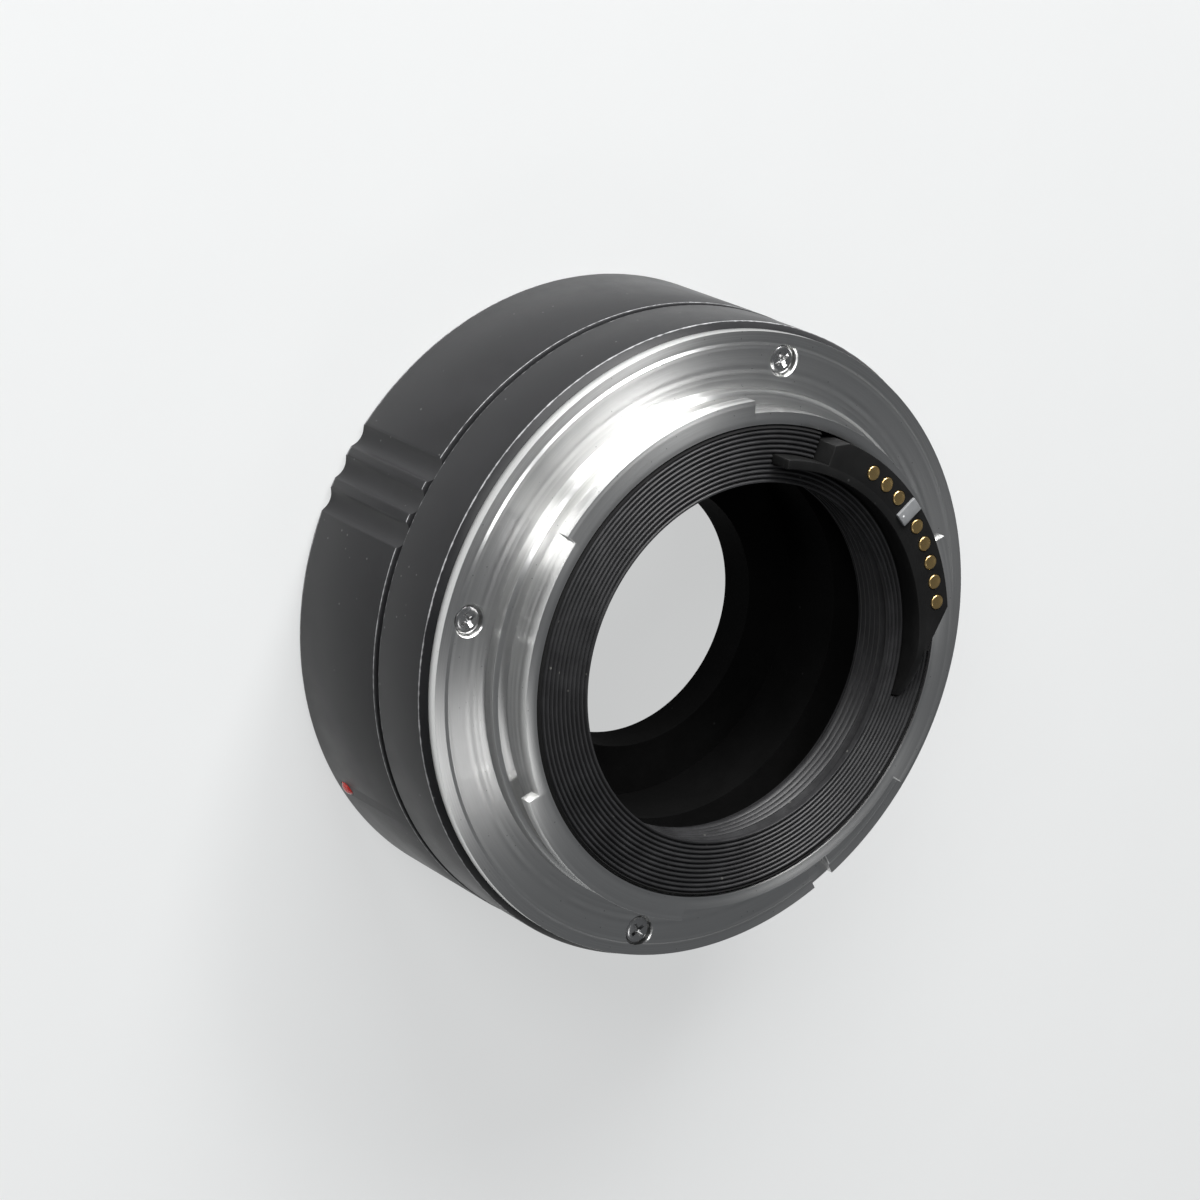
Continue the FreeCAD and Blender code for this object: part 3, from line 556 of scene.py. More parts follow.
def length_of(tree, first, second):
    """Square root of the sum of two squares."""
    squares = [math_node(tree, "MULTIPLY", part, part) for part in (first, second)]
    return math_node(tree, "SQRT", math_node(tree, "ADD", *squares))


def radius_of(tree, vector):
    """Distance of a point from the optical axis, and its height."""
    parts = tree.nodes.new("ShaderNodeSeparateXYZ")
    wire(tree, vector, parts.inputs[0])
    return length_of(tree, parts.outputs[0], parts.outputs[1]), parts.outputs[2]


def noise_node(tree, source, scale, detail, flat=False):
    """A Noise Texture over a vector, or along one number when it is flat. It returns its output."""
    node = tree.nodes.new("ShaderNodeTexNoise")
    node.inputs["Scale"].default_value = scale
    node.inputs["Detail"].default_value = detail
    if flat:
        node.noise_dimensions = "1D"
    wire(tree, source, node.inputs["W" if flat else "Vector"])
    return node.outputs[0]


def build_turned_marks():
    """Fine rings left by a lathe, on faces and on walls, with broad bands of lighter and darker turning."""
    group, start, end = new_group("Turned marks", {"Pitch": 0.05 * MM}, ["Height", "Shade"])
    radius, height = radius_of(group, start.outputs["Vector"])
    wall_share = 0.83
    along = math_node(group, "ADD", radius, math_node(group, "MULTIPLY", height, wall_share))
    turns = math_node(group, "DIVIDE", along, start.outputs["Pitch"])
    wire(group, noise_node(group, turns, 1.0, 3.0, flat=True), end.inputs["Height"])
    wire(group, noise_node(group, turns, 0.12, 2.0, flat=True), end.inputs["Shade"])


def build_blotches():
    """Soft uneven patches, from 0 to 1."""
    group, start, end = new_group("Blotches", {"Scale": 200.0, "Low": 0.35, "High": 0.65}, ["Mask"])
    noise = group.nodes.new("ShaderNodeTexNoise")
    noise.inputs["Detail"].default_value = 5.0
    noise.inputs["Roughness"].default_value = 0.6
    wire(group, start.outputs["Vector"], noise.inputs["Vector"])
    wire(group, start.outputs["Scale"], noise.inputs["Scale"])
    remap = group.nodes.new("ShaderNodeMapRange")
    wire(group, noise.outputs[0], remap.inputs["Value"])
    wire(group, start.outputs["Low"], remap.inputs["From Min"])
    wire(group, start.outputs["High"], remap.inputs["From Max"])
    wire(group, remap.outputs[0], end.inputs["Mask"])


def build_specks():
    """Sparse specks of dust, from 0 to 1."""
    group, start, end = new_group("Specks", {"Scale": 900.0, "Amount": 0.08}, ["Mask"])
    cells = group.nodes.new("ShaderNodeTexVoronoi")
    wire(group, start.outputs["Vector"], cells.inputs["Vector"])
    wire(group, start.outputs["Scale"], cells.inputs["Scale"])
    remap = group.nodes.new("ShaderNodeMapRange")
    remap.inputs["From Min"].default_value = 0.05
    remap.inputs["To Min"].default_value = 1.0
    remap.inputs["To Max"].default_value = 0.0
    wire(group, cells.outputs["Distance"], remap.inputs["Value"])
    wire(group, start.outputs["Amount"], remap.inputs["From Max"])
    tint = group.nodes.new("ShaderNodeSeparateColor")
    wire(group, cells.outputs["Color"], tint.inputs[0])
    empty_share = 0.72
    chosen = math_node(group, "GREATER_THAN", tint.outputs[0], empty_share)
    wire(group, math_node(group, "MULTIPLY", remap.outputs[0], chosen), end.inputs["Mask"])


def build_edge_highlight_ring():
    """A painted highlight: a line round the axis at one radius and height, broken up as wear is."""
    group, start, end = new_group("Worn ring", {"Radius": 0.03, "Height": 0.0, "Width": 0.1 * MM}, ["Mask"])
    radius, height = radius_of(group, start.outputs["Vector"])
    off_r = math_node(group, "SUBTRACT", radius, start.outputs["Radius"])
    off_z = math_node(group, "SUBTRACT", height, start.outputs["Height"])
    share = math_node(group, "DIVIDE", length_of(group, off_r, off_z), start.outputs["Width"])
    rough = math_node(group, "MULTIPLY", noise_node(group, start.outputs["Vector"], 1500.0, 3.0), 1.7)
    wire(group, math_node(group, "SUBTRACT", rough, share, clamp=True), end.inputs["Mask"])


# Finishes

class Finish:
    """A material under construction, with its Principled BSDF and the object's coordinates."""

    def __init__(self, name, base, metallic=0.0, roughness=0.5):
        plain = bpy.data.materials.get(name)
        if plain:
            plain.name = "plain_" + name
        material = bpy.data.materials.new(name)
        material.use_nodes = True
        self.tree = material.node_tree
        self.shader = self.tree.nodes["Principled BSDF"]
        self.hold("Base Color", (*base, 1.0))
        self.hold("Metallic", metallic)
        self.hold("Roughness", roughness)
        self.vector = self.tree.nodes.new("ShaderNodeTexCoord").outputs["Object"]

    def hold(self, label, value):
        """Give one of the shader's inputs a constant."""
        self.shader.inputs[label].default_value = value

    def feed(self, label, socket):
        """Link one of the shader's inputs."""
        wire(self.tree, socket, self.shader.inputs[label])

    def group(self, name, **values):
        """Place a shared effect and give its inputs their values."""
        node = self.tree.nodes.new("ShaderNodeGroup")
        node.node_tree = bpy.data.node_groups[name]
        wire(self.tree, self.vector, node.inputs["Vector"])
        for label, value in values.items():
            node.inputs[label].default_value = value
        return node

    def mask(self, name, **values):
        """The mask of a shared effect."""
        return self.group(name, **values).outputs["Mask"]

    def mix(self, mask, first, second):
        """Blend two colours by a mask."""
        node = self.tree.nodes.new("ShaderNodeMix")
        node.data_type = "RGBA"
        wire(self.tree, mask, node.inputs["Factor"])
        for socket, value in ((node.inputs[6], first), (node.inputs[7], second)):
            if isinstance(value, bpy.types.NodeSocket):
                wire(self.tree, value, socket)
            else:
                socket.default_value = (*value, 1.0)
        return node.outputs[2]

    def spread(self, mask, low, high):
        """Turn a mask into a number between low and high."""
        node = self.tree.nodes.new("ShaderNodeMapRange")
        wire(self.tree, mask, node.inputs["Value"])
        node.inputs["To Min"].default_value = low
        node.inputs["To Max"].default_value = high
        return node.outputs[0]

    def most(self, masks):
        """The largest of several masks."""
        best = masks[0]
        for mask in masks[1:]:
            best = math_node(self.tree, "MAXIMUM", best, mask)
        return best

    def noise(self, scale, detail):
        """Grain over the object."""
        return noise_node(self.tree, self.vector, scale, detail)

    def bump(self, height, distance, strength):
        """Feed a height to the shader's normal."""
        node = self.tree.nodes.new("ShaderNodeBump")
        node.inputs["Strength"].default_value = strength
        node.inputs["Distance"].default_value = distance
        wire(self.tree, height, node.inputs["Height"])
        self.feed("Normal", node.outputs[0])

    def turned_grain(self, amount):
        """Stretch reflections across the marks, as fine turning does."""
        self.hold("Anisotropic", amount)
        self.hold("Anisotropic Rotation", 0.25)
        tangent = self.tree.nodes.new("ShaderNodeTangent")
        tangent.direction_type = "RADIAL"
        tangent.axis = "Z"
        self.feed("Tangent", tangent.outputs[0])


def shade(base, factor):
    """A colour made lighter or darker."""
    return tuple(min(1.0, part * factor) for part in base)


def mount_metal(base):
    """Turned and plated metal: rings, a little haze and fine specks."""
    skin = Finish("mount_metal", base, metallic=1.0, roughness=0.3)
    skin.turned_grain(0.85)
    marks = skin.group("Turned marks", Pitch=0.06 * MM)
    haze = skin.mask("Blotches", Scale=260.0, Low=0.38, High=0.7)
    specks = skin.mask("Specks", Scale=1400.0, Amount=0.12)
    tone = skin.mix(marks.outputs["Shade"], shade(base, 0.70), shade(base, 1.25))
    tone = skin.mix(haze, tone, shade(base, 0.97))
    skin.feed("Base Color", skin.mix(specks, tone, shade(base, 0.55)))
    skin.feed("Roughness", skin.spread(marks.outputs["Shade"], 0.22, 0.44))
    skin.bump(marks.outputs["Height"], 0.004 * MM, 0.35)


def anodised_black(name, base, rings):
    """Satin black anodised metal with a blasted grain and painted highlights as bright rings at its edges.

    Each ring is its radius, its height and its width."""
    skin = Finish(name, base, roughness=0.42)
    skin.hold("Specular IOR Level", 0.24)
    haze = skin.mask("Blotches", Scale=180.0, Low=0.35, High=0.75)
    specks = skin.mask("Specks", Scale=700.0, Amount=0.09)
    # Painted highlights: bright rings along the edges, one for each entry of rings
    mark_mask = skin.most([skin.mask("Worn ring", Radius=r, Height=z, Width=width) for r, z, width in rings])
    tone = skin.mix(haze, base, shade(base, 1.35))
    tone = skin.mix(specks, tone, (0.10, 0.10, 0.10))
    # The light grey here is painted highlight on the edge rings
    skin.feed("Base Color", skin.mix(mark_mask, tone, (0.45, 0.45, 0.46)))
    skin.feed("Roughness", skin.spread(haze, 0.34, 0.44))
    skin.bump(skin.noise(9000.0, 2.0), 0.012 * MM, 0.6)


def ridged_black(base, rim_r):
    """Satin black moulding with a trace of lathe marks from its mould, darker and dull outside the ridges as
    painted shade of the gap beside the collar.
    """
    skin = Finish("baffle_black", base, roughness=0.42)
    skin.hold("Specular IOR Level", 0.4)
    radius, _ = radius_of(skin.tree, skin.vector)
    # Outside the ridges the colour is darkened: painted shade of the gap between baffle and collar
    rim = math_node(skin.tree, "GREATER_THAN", radius, rim_r)
    marks = skin.group("Turned marks", Pitch=0.08 * MM)
    haze = skin.mask("Blotches", Scale=420.0, Low=0.4, High=0.75)
    specks = skin.mask("Specks", Scale=650.0, Amount=0.10)
    tone = skin.mix(haze, base, shade(base, 1.5))
    tone = skin.mix(specks, tone, (0.13, 0.13, 0.12))
    # Painted shade: outside the ridges the moulding is darkened to 0.3 of its colour
    skin.feed("Base Color", skin.mix(rim, tone, shade(base, 0.3)))
    skin.feed("Roughness", skin.most([skin.spread(haze, 0.36, 0.5), rim]))
    skin.bump(marks.outputs["Height"], 0.006 * MM, 0.5)


def moulded_black(name, base, roughness, grain_scale, grain_depth, gloss=0.5):
    """Moulded plastic with a spark eroded texture."""
    skin = Finish(name, base, roughness=roughness)
    skin.hold("Specular IOR Level", gloss)
    grain = skin.noise(grain_scale, 3.0)
    haze = skin.mask("Blotches", Scale=300.0, Low=0.4, High=0.7)
    specks = skin.mask("Specks", Scale=520.0, Amount=0.08)
    tone = skin.mix(haze, base, shade(base, 1.45))
    skin.feed("Base Color", skin.mix(specks, tone, shade(base, 5.0)))
    skin.feed("Roughness", skin.spread(grain, roughness - 0.06, roughness + 0.06))
    skin.bump(grain, grain_depth, 0.7)


def plain_metal(name, base, roughness):
    """Steel with fine scratches and uneven polish."""
    skin = Finish(name, base, metallic=1.0, roughness=roughness)
    haze = skin.mask("Blotches", Scale=900.0, Low=0.35, High=0.7)
    skin.feed("Base Color", skin.mix(haze, base, shade(base, 0.82)))
    skin.feed("Roughness", skin.spread(haze, roughness - 0.04, roughness + 0.07))
    skin.bump(skin.noise(7000.0, 2.0), 0.006 * MM, 0.4)


def gold_plate(base):
    """Gold over nickel, browner in patches where pins have rubbed."""
    skin = Finish("contact_gold", base, metallic=1.0, roughness=0.28)
    mark_mask = skin.mask("Blotches", Scale=1500.0, Low=0.35, High=0.65)
    skin.feed("Base Color", skin.mix(mark_mask, base, shade(base, 0.72)))
    skin.feed("Roughness", skin.spread(mark_mask, 0.22, 0.36))
    skin.bump(skin.noise(5200.0, 2.0), 0.01 * MM, 0.5)


def red_bead(base):
    """Glossy lacquered bead."""
    skin = Finish("index_red", base, roughness=0.2)
    skin.hold("Coat Weight", 0.6)
    haze = skin.mask("Blotches", Scale=1300.0, Low=0.3, High=0.8)
    skin.feed("Base Color", skin.mix(haze, base, shade(base, 0.8)))
    skin.bump(skin.noise(2500.0, 1.0), 0.01 * MM, 0.3)


def amber_film(base):
    """Flexible printed cable with darker patches in its film."""
    skin = Finish("cable_film", base, roughness=0.3)
    patches = skin.mask("Blotches", Scale=700.0, Low=0.4, High=0.6)
    skin.feed("Base Color", skin.mix(patches, base, shade(base, 0.7)))


def floor_paper(base):
    """Pale seamless paper that looks evenly lit, with the tube's shadow left in it."""
    skin = Finish("floor_paper", base, roughness=0.7)
    fibre = skin.mask("Blotches", Scale=60.0, Low=0.3, High=0.8)
    tone = skin.mix(fibre, base, shade(base, 0.99))
    skin.feed("Base Color", tone)
    nodes = skin.tree.nodes
    glow = nodes.new("ShaderNodeEmission")
    wire(skin.tree, tone, glow.inputs["Color"])
    path = nodes.new("ShaderNodeLightPath")
    seen = skin.most([path.outputs[label] for label in
                      ("Is Camera Ray", "Is Glossy Ray", "Is Transmission Ray")])
    blend = nodes.new("ShaderNodeMixShader")
    wire(skin.tree, math_node(skin.tree, "MULTIPLY", seen, 0.65), blend.inputs[0])
    wire(skin.tree, skin.shader.outputs[0], blend.inputs[1])
    wire(skin.tree, glow.outputs[0], blend.inputs[2])
    wire(skin.tree, blend.outputs[0], nodes["Material Output"].inputs["Surface"])


# Operators, one for each piece or group of like pieces

class TUBE_OT_finishes(bpy.types.Operator):
    """Build the shared effects and every material, and paint the CAD nodes that stay"""

    bl_idname = "tube.finishes"
    bl_label = "Finishes"

    def execute(self, context):
        tint = context.scene.tube_colours
        size = context.scene.tube_sizes
        build_turned_marks()
        build_blotches()
        build_specks()
        build_edge_highlight_ring()
        flange_z = SEAT_Z - size.flange_thickness
        mount_metal(tint.mount_metal)
        # The rings below are painted highlights along the sleeve's and barrel's edges
        anodised_black("sleeve_black", tint.sleeve_black, [
            (size.sleeve_r, size.sleeve_front + size.edge_chamfer, 0.10 * MM),
            (size.sleeve_r, size.seam_z - size.edge_chamfer, 0.08 * MM),
        ])
        mid_chamfer = size.edge_chamfer / 4     # the barrel's own chamfer is half as wide as the sleeve's
        anodised_black("barrel_black", tint.barrel_black, [
            (size.barrel_r - mid_chamfer, size.seam_z + size.seam_width + mid_chamfer, 0.20 * MM),
            (size.barrel_r, flange_z - size.barrel_chamfer_length, 0.13 * MM),
        ])
        # The baffle is darkened outside its outermost ridge, as painted shade of the gap beside the collar
        ridged_black(tint.baffle_black, size.ridge_r + size.ridge_pitch / 2)
        moulded_black("moulding_black", tint.moulding_black, 0.45, 6000.0, 0.01 * MM, gloss=0.22)
        moulded_black("key_grey", tint.key_grey, 0.5, 5000.0, 0.012 * MM)
        moulded_black("shield_black", tint.shield_black, 0.85, 3000.0, 0.03 * MM, gloss=0.08)
        moulded_black("slide_black", tint.moulding_black, 0.48, 6000.0, 0.012 * MM)
        moulded_black("chassis_metal", tint.shield_black, 0.6, 4000.0, 0.02 * MM)
        gold_plate(tint.contact_gold)
        plain_metal("screw_steel", tint.screw_steel, 0.24)
        plain_metal("spring_steel", shade(tint.screw_steel, 0.95), 0.28)
        plain_metal("pin_steel", tint.screw_steel, 0.2)
        plain_metal("screw_black", (0.04, 0.04, 0.042), 0.35)
        red_bead(tint.index_red)
        amber_film(tint.cable_amber)
        for part in frame["record"]["subparts"]:
            paint(frame["nodes"][part["node"]], part["material_slot"])
        return {"FINISHED"}


class TUBE_OT_rear_mount(bpy.types.Operator):
    """Turn the camera side mount, raise its lugs and cut its pockets and lock slot"""

    bl_idname = "tube.rear_mount"
    bl_label = "Camera side mount"

    def execute(self, context):
        size = context.scene.tube_sizes
        top = SEAT_Z + size.collar_height
        lug_z = top - size.lug_thickness
        pilot_top = SEAT_Z + size.pilot_height
        flange_z = SEAT_Z - size.flange_thickness
        ledge_r = size.flange_r - size.ledge_width
        slim_r = size.collar_r - size.collar_relief
        mount = turn("camera_mount", [
            (size.collar_bore_r, flange_z - size.spigot_length),
            (size.spigot_r, flange_z - size.spigot_length),
            (size.spigot_r, flange_z),
            (size.flange_r, flange_z),
            (size.flange_r, SEAT_Z - size.ledge_drop),
            (ledge_r, SEAT_Z - size.ledge_drop),
            (ledge_r - size.ledge_drop, SEAT_Z),
            (size.pilot_r, SEAT_Z),
            (size.pilot_r, pilot_top - size.pilot_chamfer),
            (size.pilot_r - size.pilot_chamfer, pilot_top),
            (slim_r, pilot_top),
            (slim_r, lug_z),
            (size.collar_r, lug_z),
            (size.collar_r, top),
            (size.collar_bore_r, top),
        ])
        raise_sectors(mount, size.collar_r, lug_z, top, LUG_SECTORS, size.lug_r)
        ease_edges(mount, 0.05 * MM)
        floor_z = SEAT_Z - size.screw_sink - size.screw_head_height
        drill(mount, [
            (0.0, floor_z),
            (size.counterbore_r, floor_z),
            (size.counterbore_r, SEAT_Z - MOUTH_DEPTH),
            (size.counterbore_r + MOUTH_WIDTH, SEAT_Z + MOUTH_RISE),
            (0.0, SEAT_Z + MOUTH_RISE),
        ], size.screw_circle_r, SCREW_ANGLES)
        carve(mount, self.slot_tool(size))
        finish(mount, "tube", "mount_metal", ["rear_mount"])
        return {"FINISHED"}

    def slot_tool(self, size):
        """Cutter of the lock slot: a round end that runs out through the flange's rim, flared at its top."""
        half = size.lock_slot_r
        arc = [(-half * math.cos(math.radians(a)), half * math.sin(math.radians(a)))
               for a in range(-90, 91, 5)]
        reach = size.flange_r - size.screw_circle_r + size.ledge_width
        outline = arc + [(reach, half), (reach, -half)]
        flare = 0.15 * MM
        tool = extrude_plan("slot_tool", outline, SEAT_Z - size.lock_slot_depth, SEAT_Z - OVERLAP)
        top = extrude_plan("slot_flare", outline, SEAT_Z - OVERLAP - flare / 2, SEAT_Z + OVERLAP)
        scale_end(top, 1, (half + flare) / half, (half + flare) / half)
        carve(tool, top, "UNION")
        place(tool, size.screw_circle_r, math.degrees(size.lock_angle))
        return tool


class TUBE_OT_mount_screws(bpy.types.Operator):
    """Model one cross-head screw and set copies of it in both mounts"""

    bl_idname = "tube.mount_screws"
    bl_label = "Mount screws"

    def execute(self, context):
        size = context.scene.tube_sizes
        r = size.screw_head_r
        h = size.screw_head_height
        screw = turn("screw", [
            (0.0, 0.0),
            (r * 0.72, 0.0),
            (r * 0.90, -h * 0.06),
            (r * 0.98, -h * 0.18),
            (r, -h * 0.32),
            (r, -h),
            (size.screw_shank_r, -h),
            (size.screw_shank_r, -h - size.screw_length),
            (0.0, -h - size.screw_length),
        ], steps=SMALL_STEPS, pole=True)
        for quarter in (45.0, 135.0):
            carve(screw, self.driver_blade(size, quarter))
        camera_side = []
        lens_side = []
        for degrees in SCREW_ANGLES:
            up = copy_of(screw, "screw_up")
            place(up, size.screw_circle_r, degrees, SEAT_Z - size.screw_sink)
            camera_side.append(up)
            down = copy_of(screw, "screw_down")
            down.rotation_euler.x = math.pi
            settle(down)
            place(down, size.screw_circle_r, degrees, size.screw_sink)
            lens_side.append(down)
        clear_away(screw)
        finish(join(camera_side, "camera_mount_screws"), "tube", "screw_steel", ["rear_mount_screws"])
        finish(join(lens_side, "lens_mount_screws"), "tube", "screw_steel", ["front_mount_screws"])
        return {"FINISHED"}

    def driver_blade(self, size, degrees):
        """One tapered arm of the cross recess."""
        reach = size.screw_head_r * 0.62
        depth = 0.45 * MM
        blade = slab("blade", -reach, reach, 0.2 * MM, -depth, 0.05 * MM)
        scale_end(blade, -1, 0.45, 0.7)
        swing(blade, math.radians(degrees))
        return blade


class TUBE_OT_front_mount(bpy.types.Operator):
    """Turn the lens side mount, push its three tabs in and cut its holes"""

    bl_idname = "tube.front_mount"
    bl_label = "Lens side mount"

    def execute(self, context):
        size = context.scene.tube_sizes
        mount = turn("lens_mount", [
            (size.throat_r, 0.0),
            (size.lip_r, 0.0),
            (size.lip_r, size.lip_height),
            (size.ring_r, size.lip_height),
            (size.ring_r, size.ring_height),
            (size.tab_cavity_r, size.ring_height),
            (size.tab_cavity_r, size.tab_thickness),
            (size.throat_r, size.tab_thickness),
        ])
        raise_sectors(mount, size.throat_r, 0.0, size.tab_thickness, LUG_SECTORS, size.tab_bore_r)
        ease_edges(mount, 0.08 * MM)
        pocket_z = size.screw_sink + size.screw_head_height
        drill(mount, [
            (0.0, -MOUTH_RISE),
            (size.counterbore_r + MOUTH_WIDTH, -MOUTH_RISE),
            (size.counterbore_r, MOUTH_DEPTH),
            (size.counterbore_r, pocket_z),
            (0.0, pocket_z),
        ], size.screw_circle_r, SCREW_ANGLES)
        drill(mount, [
            (0.0, -OVERLAP),
            (size.lock_pin_r + MOUTH_WIDTH, -OVERLAP),
            (size.lock_pin_r, OVERLAP),
            (size.lock_pin_r, size.ring_height + OVERLAP),
            (0.0, size.ring_height + OVERLAP),
        ], size.screw_circle_r, [math.degrees(size.lock_angle)])
        finish(mount, "tube", "mount_metal", ["front_mount"])
        return {"FINISHED"}


class TUBE_OT_front_sleeve(bpy.types.Operator):
    """Turn the front sleeve and mill its grip flutes, its slide window and its bead's seat"""

    bl_idname = "tube.front_sleeve"
    bl_label = "Front sleeve"

    def execute(self, context):
        size = context.scene.tube_sizes
        chamfer = size.edge_chamfer
        sleeve = turn("front_sleeve_shell", [
            (size.lip_r + FIT, size.sleeve_front),
            (size.sleeve_r - chamfer, size.sleeve_front),
            (size.sleeve_r - chamfer * 0.3, size.sleeve_front + chamfer * 0.3),
            (size.sleeve_r, size.sleeve_front + chamfer),
            (size.sleeve_r, size.seam_z - chamfer),
            (size.sleeve_r - chamfer * 0.3, size.seam_z - chamfer * 0.3),
            (size.sleeve_r - chamfer, size.seam_z),
            (size.sleeve_bore_r, size.seam_z),
            (size.sleeve_bore_r, size.lip_height),
            (size.lip_r + FIT, size.lip_height),
        ])
        flute = self.flute_tool(size)
        for side in (0.0, 180.0):
            for number in range(3):
                tool = copy_of(flute, "flute_cut")
                swing(tool, math.radians(side) + size.flute_angle + number * size.flute_pitch)
                carve(sleeve, tool)
        clear_away(flute)
        carve(sleeve, bead_seat(size, size.lens_dot_angle, size.lens_dot_z, size.sleeve_r))
        carve(sleeve, self.window_tool(size))
        finish(sleeve, "tube", "sleeve_black", ["front_sleeve"])
        return {"FINISHED"}

    def flute_tool(self, size):
        """Cutter of one flute at zero degrees, whose shoulders are eased outside its round part."""
        ease = 3.5                      # degrees by which the round part ends short of the sleeve
        ease_width = 0.11 * MM
        ease_rise = 0.012 * MM
        centre = size.sleeve_r + size.flute_r - size.flute_depth
        cosine = (centre ** 2 + size.flute_r ** 2 - size.sleeve_r ** 2) / (2 * centre * size.flute_r)
        edge = math.degrees(math.acos(cosine))
        count = 24
        arc = []
        for i in range(count + 1):
            a = math.radians(-(edge - ease) + 2 * (edge - ease) * i / count)
            arc.append((centre - size.flute_r * math.cos(a), size.flute_r * math.sin(a)))
        rim_y = size.flute_r * math.sin(math.radians(edge)) + ease_width
        rim_x = math.sqrt(size.sleeve_r ** 2 - rim_y ** 2) + ease_rise
        outside = size.sleeve_r + 2 * MM
        outline = [(outside, -rim_y), (rim_x, -rim_y)] + arc + [(rim_x, rim_y), (outside, rim_y)]
        return extrude_plan("flute_tool", outline, -MM, size.seam_z + MM)

    def window_tool(self, size):
        """Cutter of the window that the release slide's yoke passes, with room for its travel."""
        room_below, room_above, half = 2.1 * MM, 0.8 * MM, 1.7 * MM
        low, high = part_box("release_yoke")
        tool = slab("window_tool", size.sleeve_bore_r - MM, size.sleeve_r + MM, half,
                    low.z - room_below, high.z + room_above)
        swing(tool, size.lock_angle)
        return tool


def bead_seat(size, turned, z, wall_r):
    """Cutter of the shallow seat round an index bead, flared at the wall."""
    seat_r = size.dot_r + 0.06 * MM
    floor_r = wall_r - 0.3 * MM
    tool = turn("bead_seat_tool", [
        (0.0, floor_r),
        (seat_r, floor_r),
        (seat_r, wall_r - 0.05 * MM),
        (seat_r + 0.15 * MM, wall_r + OVERLAP),
        (0.0, wall_r + OVERLAP),
    ], steps=BEAD_STEPS, pole=True)
    point_out(tool, turned, z)
    return tool


class TUBE_OT_rear_barrel(bpy.types.Operator):
    """Turn the rear barrel with its seam groove and chamfer"""

    bl_idname = "tube.rear_barrel"
    bl_label = "Rear barrel"

    def execute(self, context):
        size = context.scene.tube_sizes
        flange_z = SEAT_Z - size.flange_thickness
        seam_top = size.seam_z + size.seam_width
        chamfer = size.edge_chamfer / 2
        spigot_r = size.sleeve_bore_r - FIT
        barrel = turn("rear_barrel_shell", [
            (size.barrel_bore_r, size.seam_z - BARREL_SPIGOT),
            (spigot_r, size.seam_z - BARREL_SPIGOT),
            (spigot_r, size.seam_z),
            (size.seam_r, size.seam_z),
            (size.seam_r, seam_top),
            (size.barrel_r - chamfer, seam_top),
            (size.barrel_r, seam_top + chamfer),
            (size.barrel_r, flange_z - size.barrel_chamfer_length),
            (size.barrel_r - size.barrel_chamfer_width, flange_z),
            (size.barrel_bore_r, flange_z),
        ])
        ease_edges(barrel, 0.04 * MM)
        carve(barrel, bead_seat(size, size.camera_dot_angle, size.camera_dot_z, size.barrel_r))
        finish(barrel, "tube", "barrel_black", ["rear_barrel"])
        return {"FINISHED"}


class TUBE_OT_index_dots(bpy.types.Operator):
    """Model a domed bead for the sleeve and one for the barrel"""

    bl_idname = "tube.index_dots"
    bl_label = "Index beads"

    def execute(self, context):
        size = context.scene.tube_sizes
        self.bead("lens_bead", "lens_index_dot", size, size.lens_dot_angle, size.lens_dot_z, size.sleeve_r)
        self.bead("camera_bead", "camera_index_dot", size, size.camera_dot_angle, size.camera_dot_z,
                  size.barrel_r)
        return {"FINISHED"}

    def bead(self, name, node, size, turned, z, wall_r):
        """A dome on a short stem that sits in the wall."""
        dome_r = (size.dot_r ** 2 + size.dot_rise ** 2) / (2 * size.dot_rise)
        top = wall_r + size.dot_rise
        foot = wall_r - 0.9 * MM
        half = math.asin(size.dot_r / dome_r)
        dome = [(dome_r * math.sin(half * i / 10), top - dome_r + dome_r * math.cos(half * i / 10))
                for i in range(11)]
        piece = turn(name, dome + [(size.dot_r, foot), (0.0, foot)], steps=BEAD_STEPS, pole=True)
        point_out(piece, turned, z)
        finish(piece, "tube", "index_red", [node], smooth=40.0)


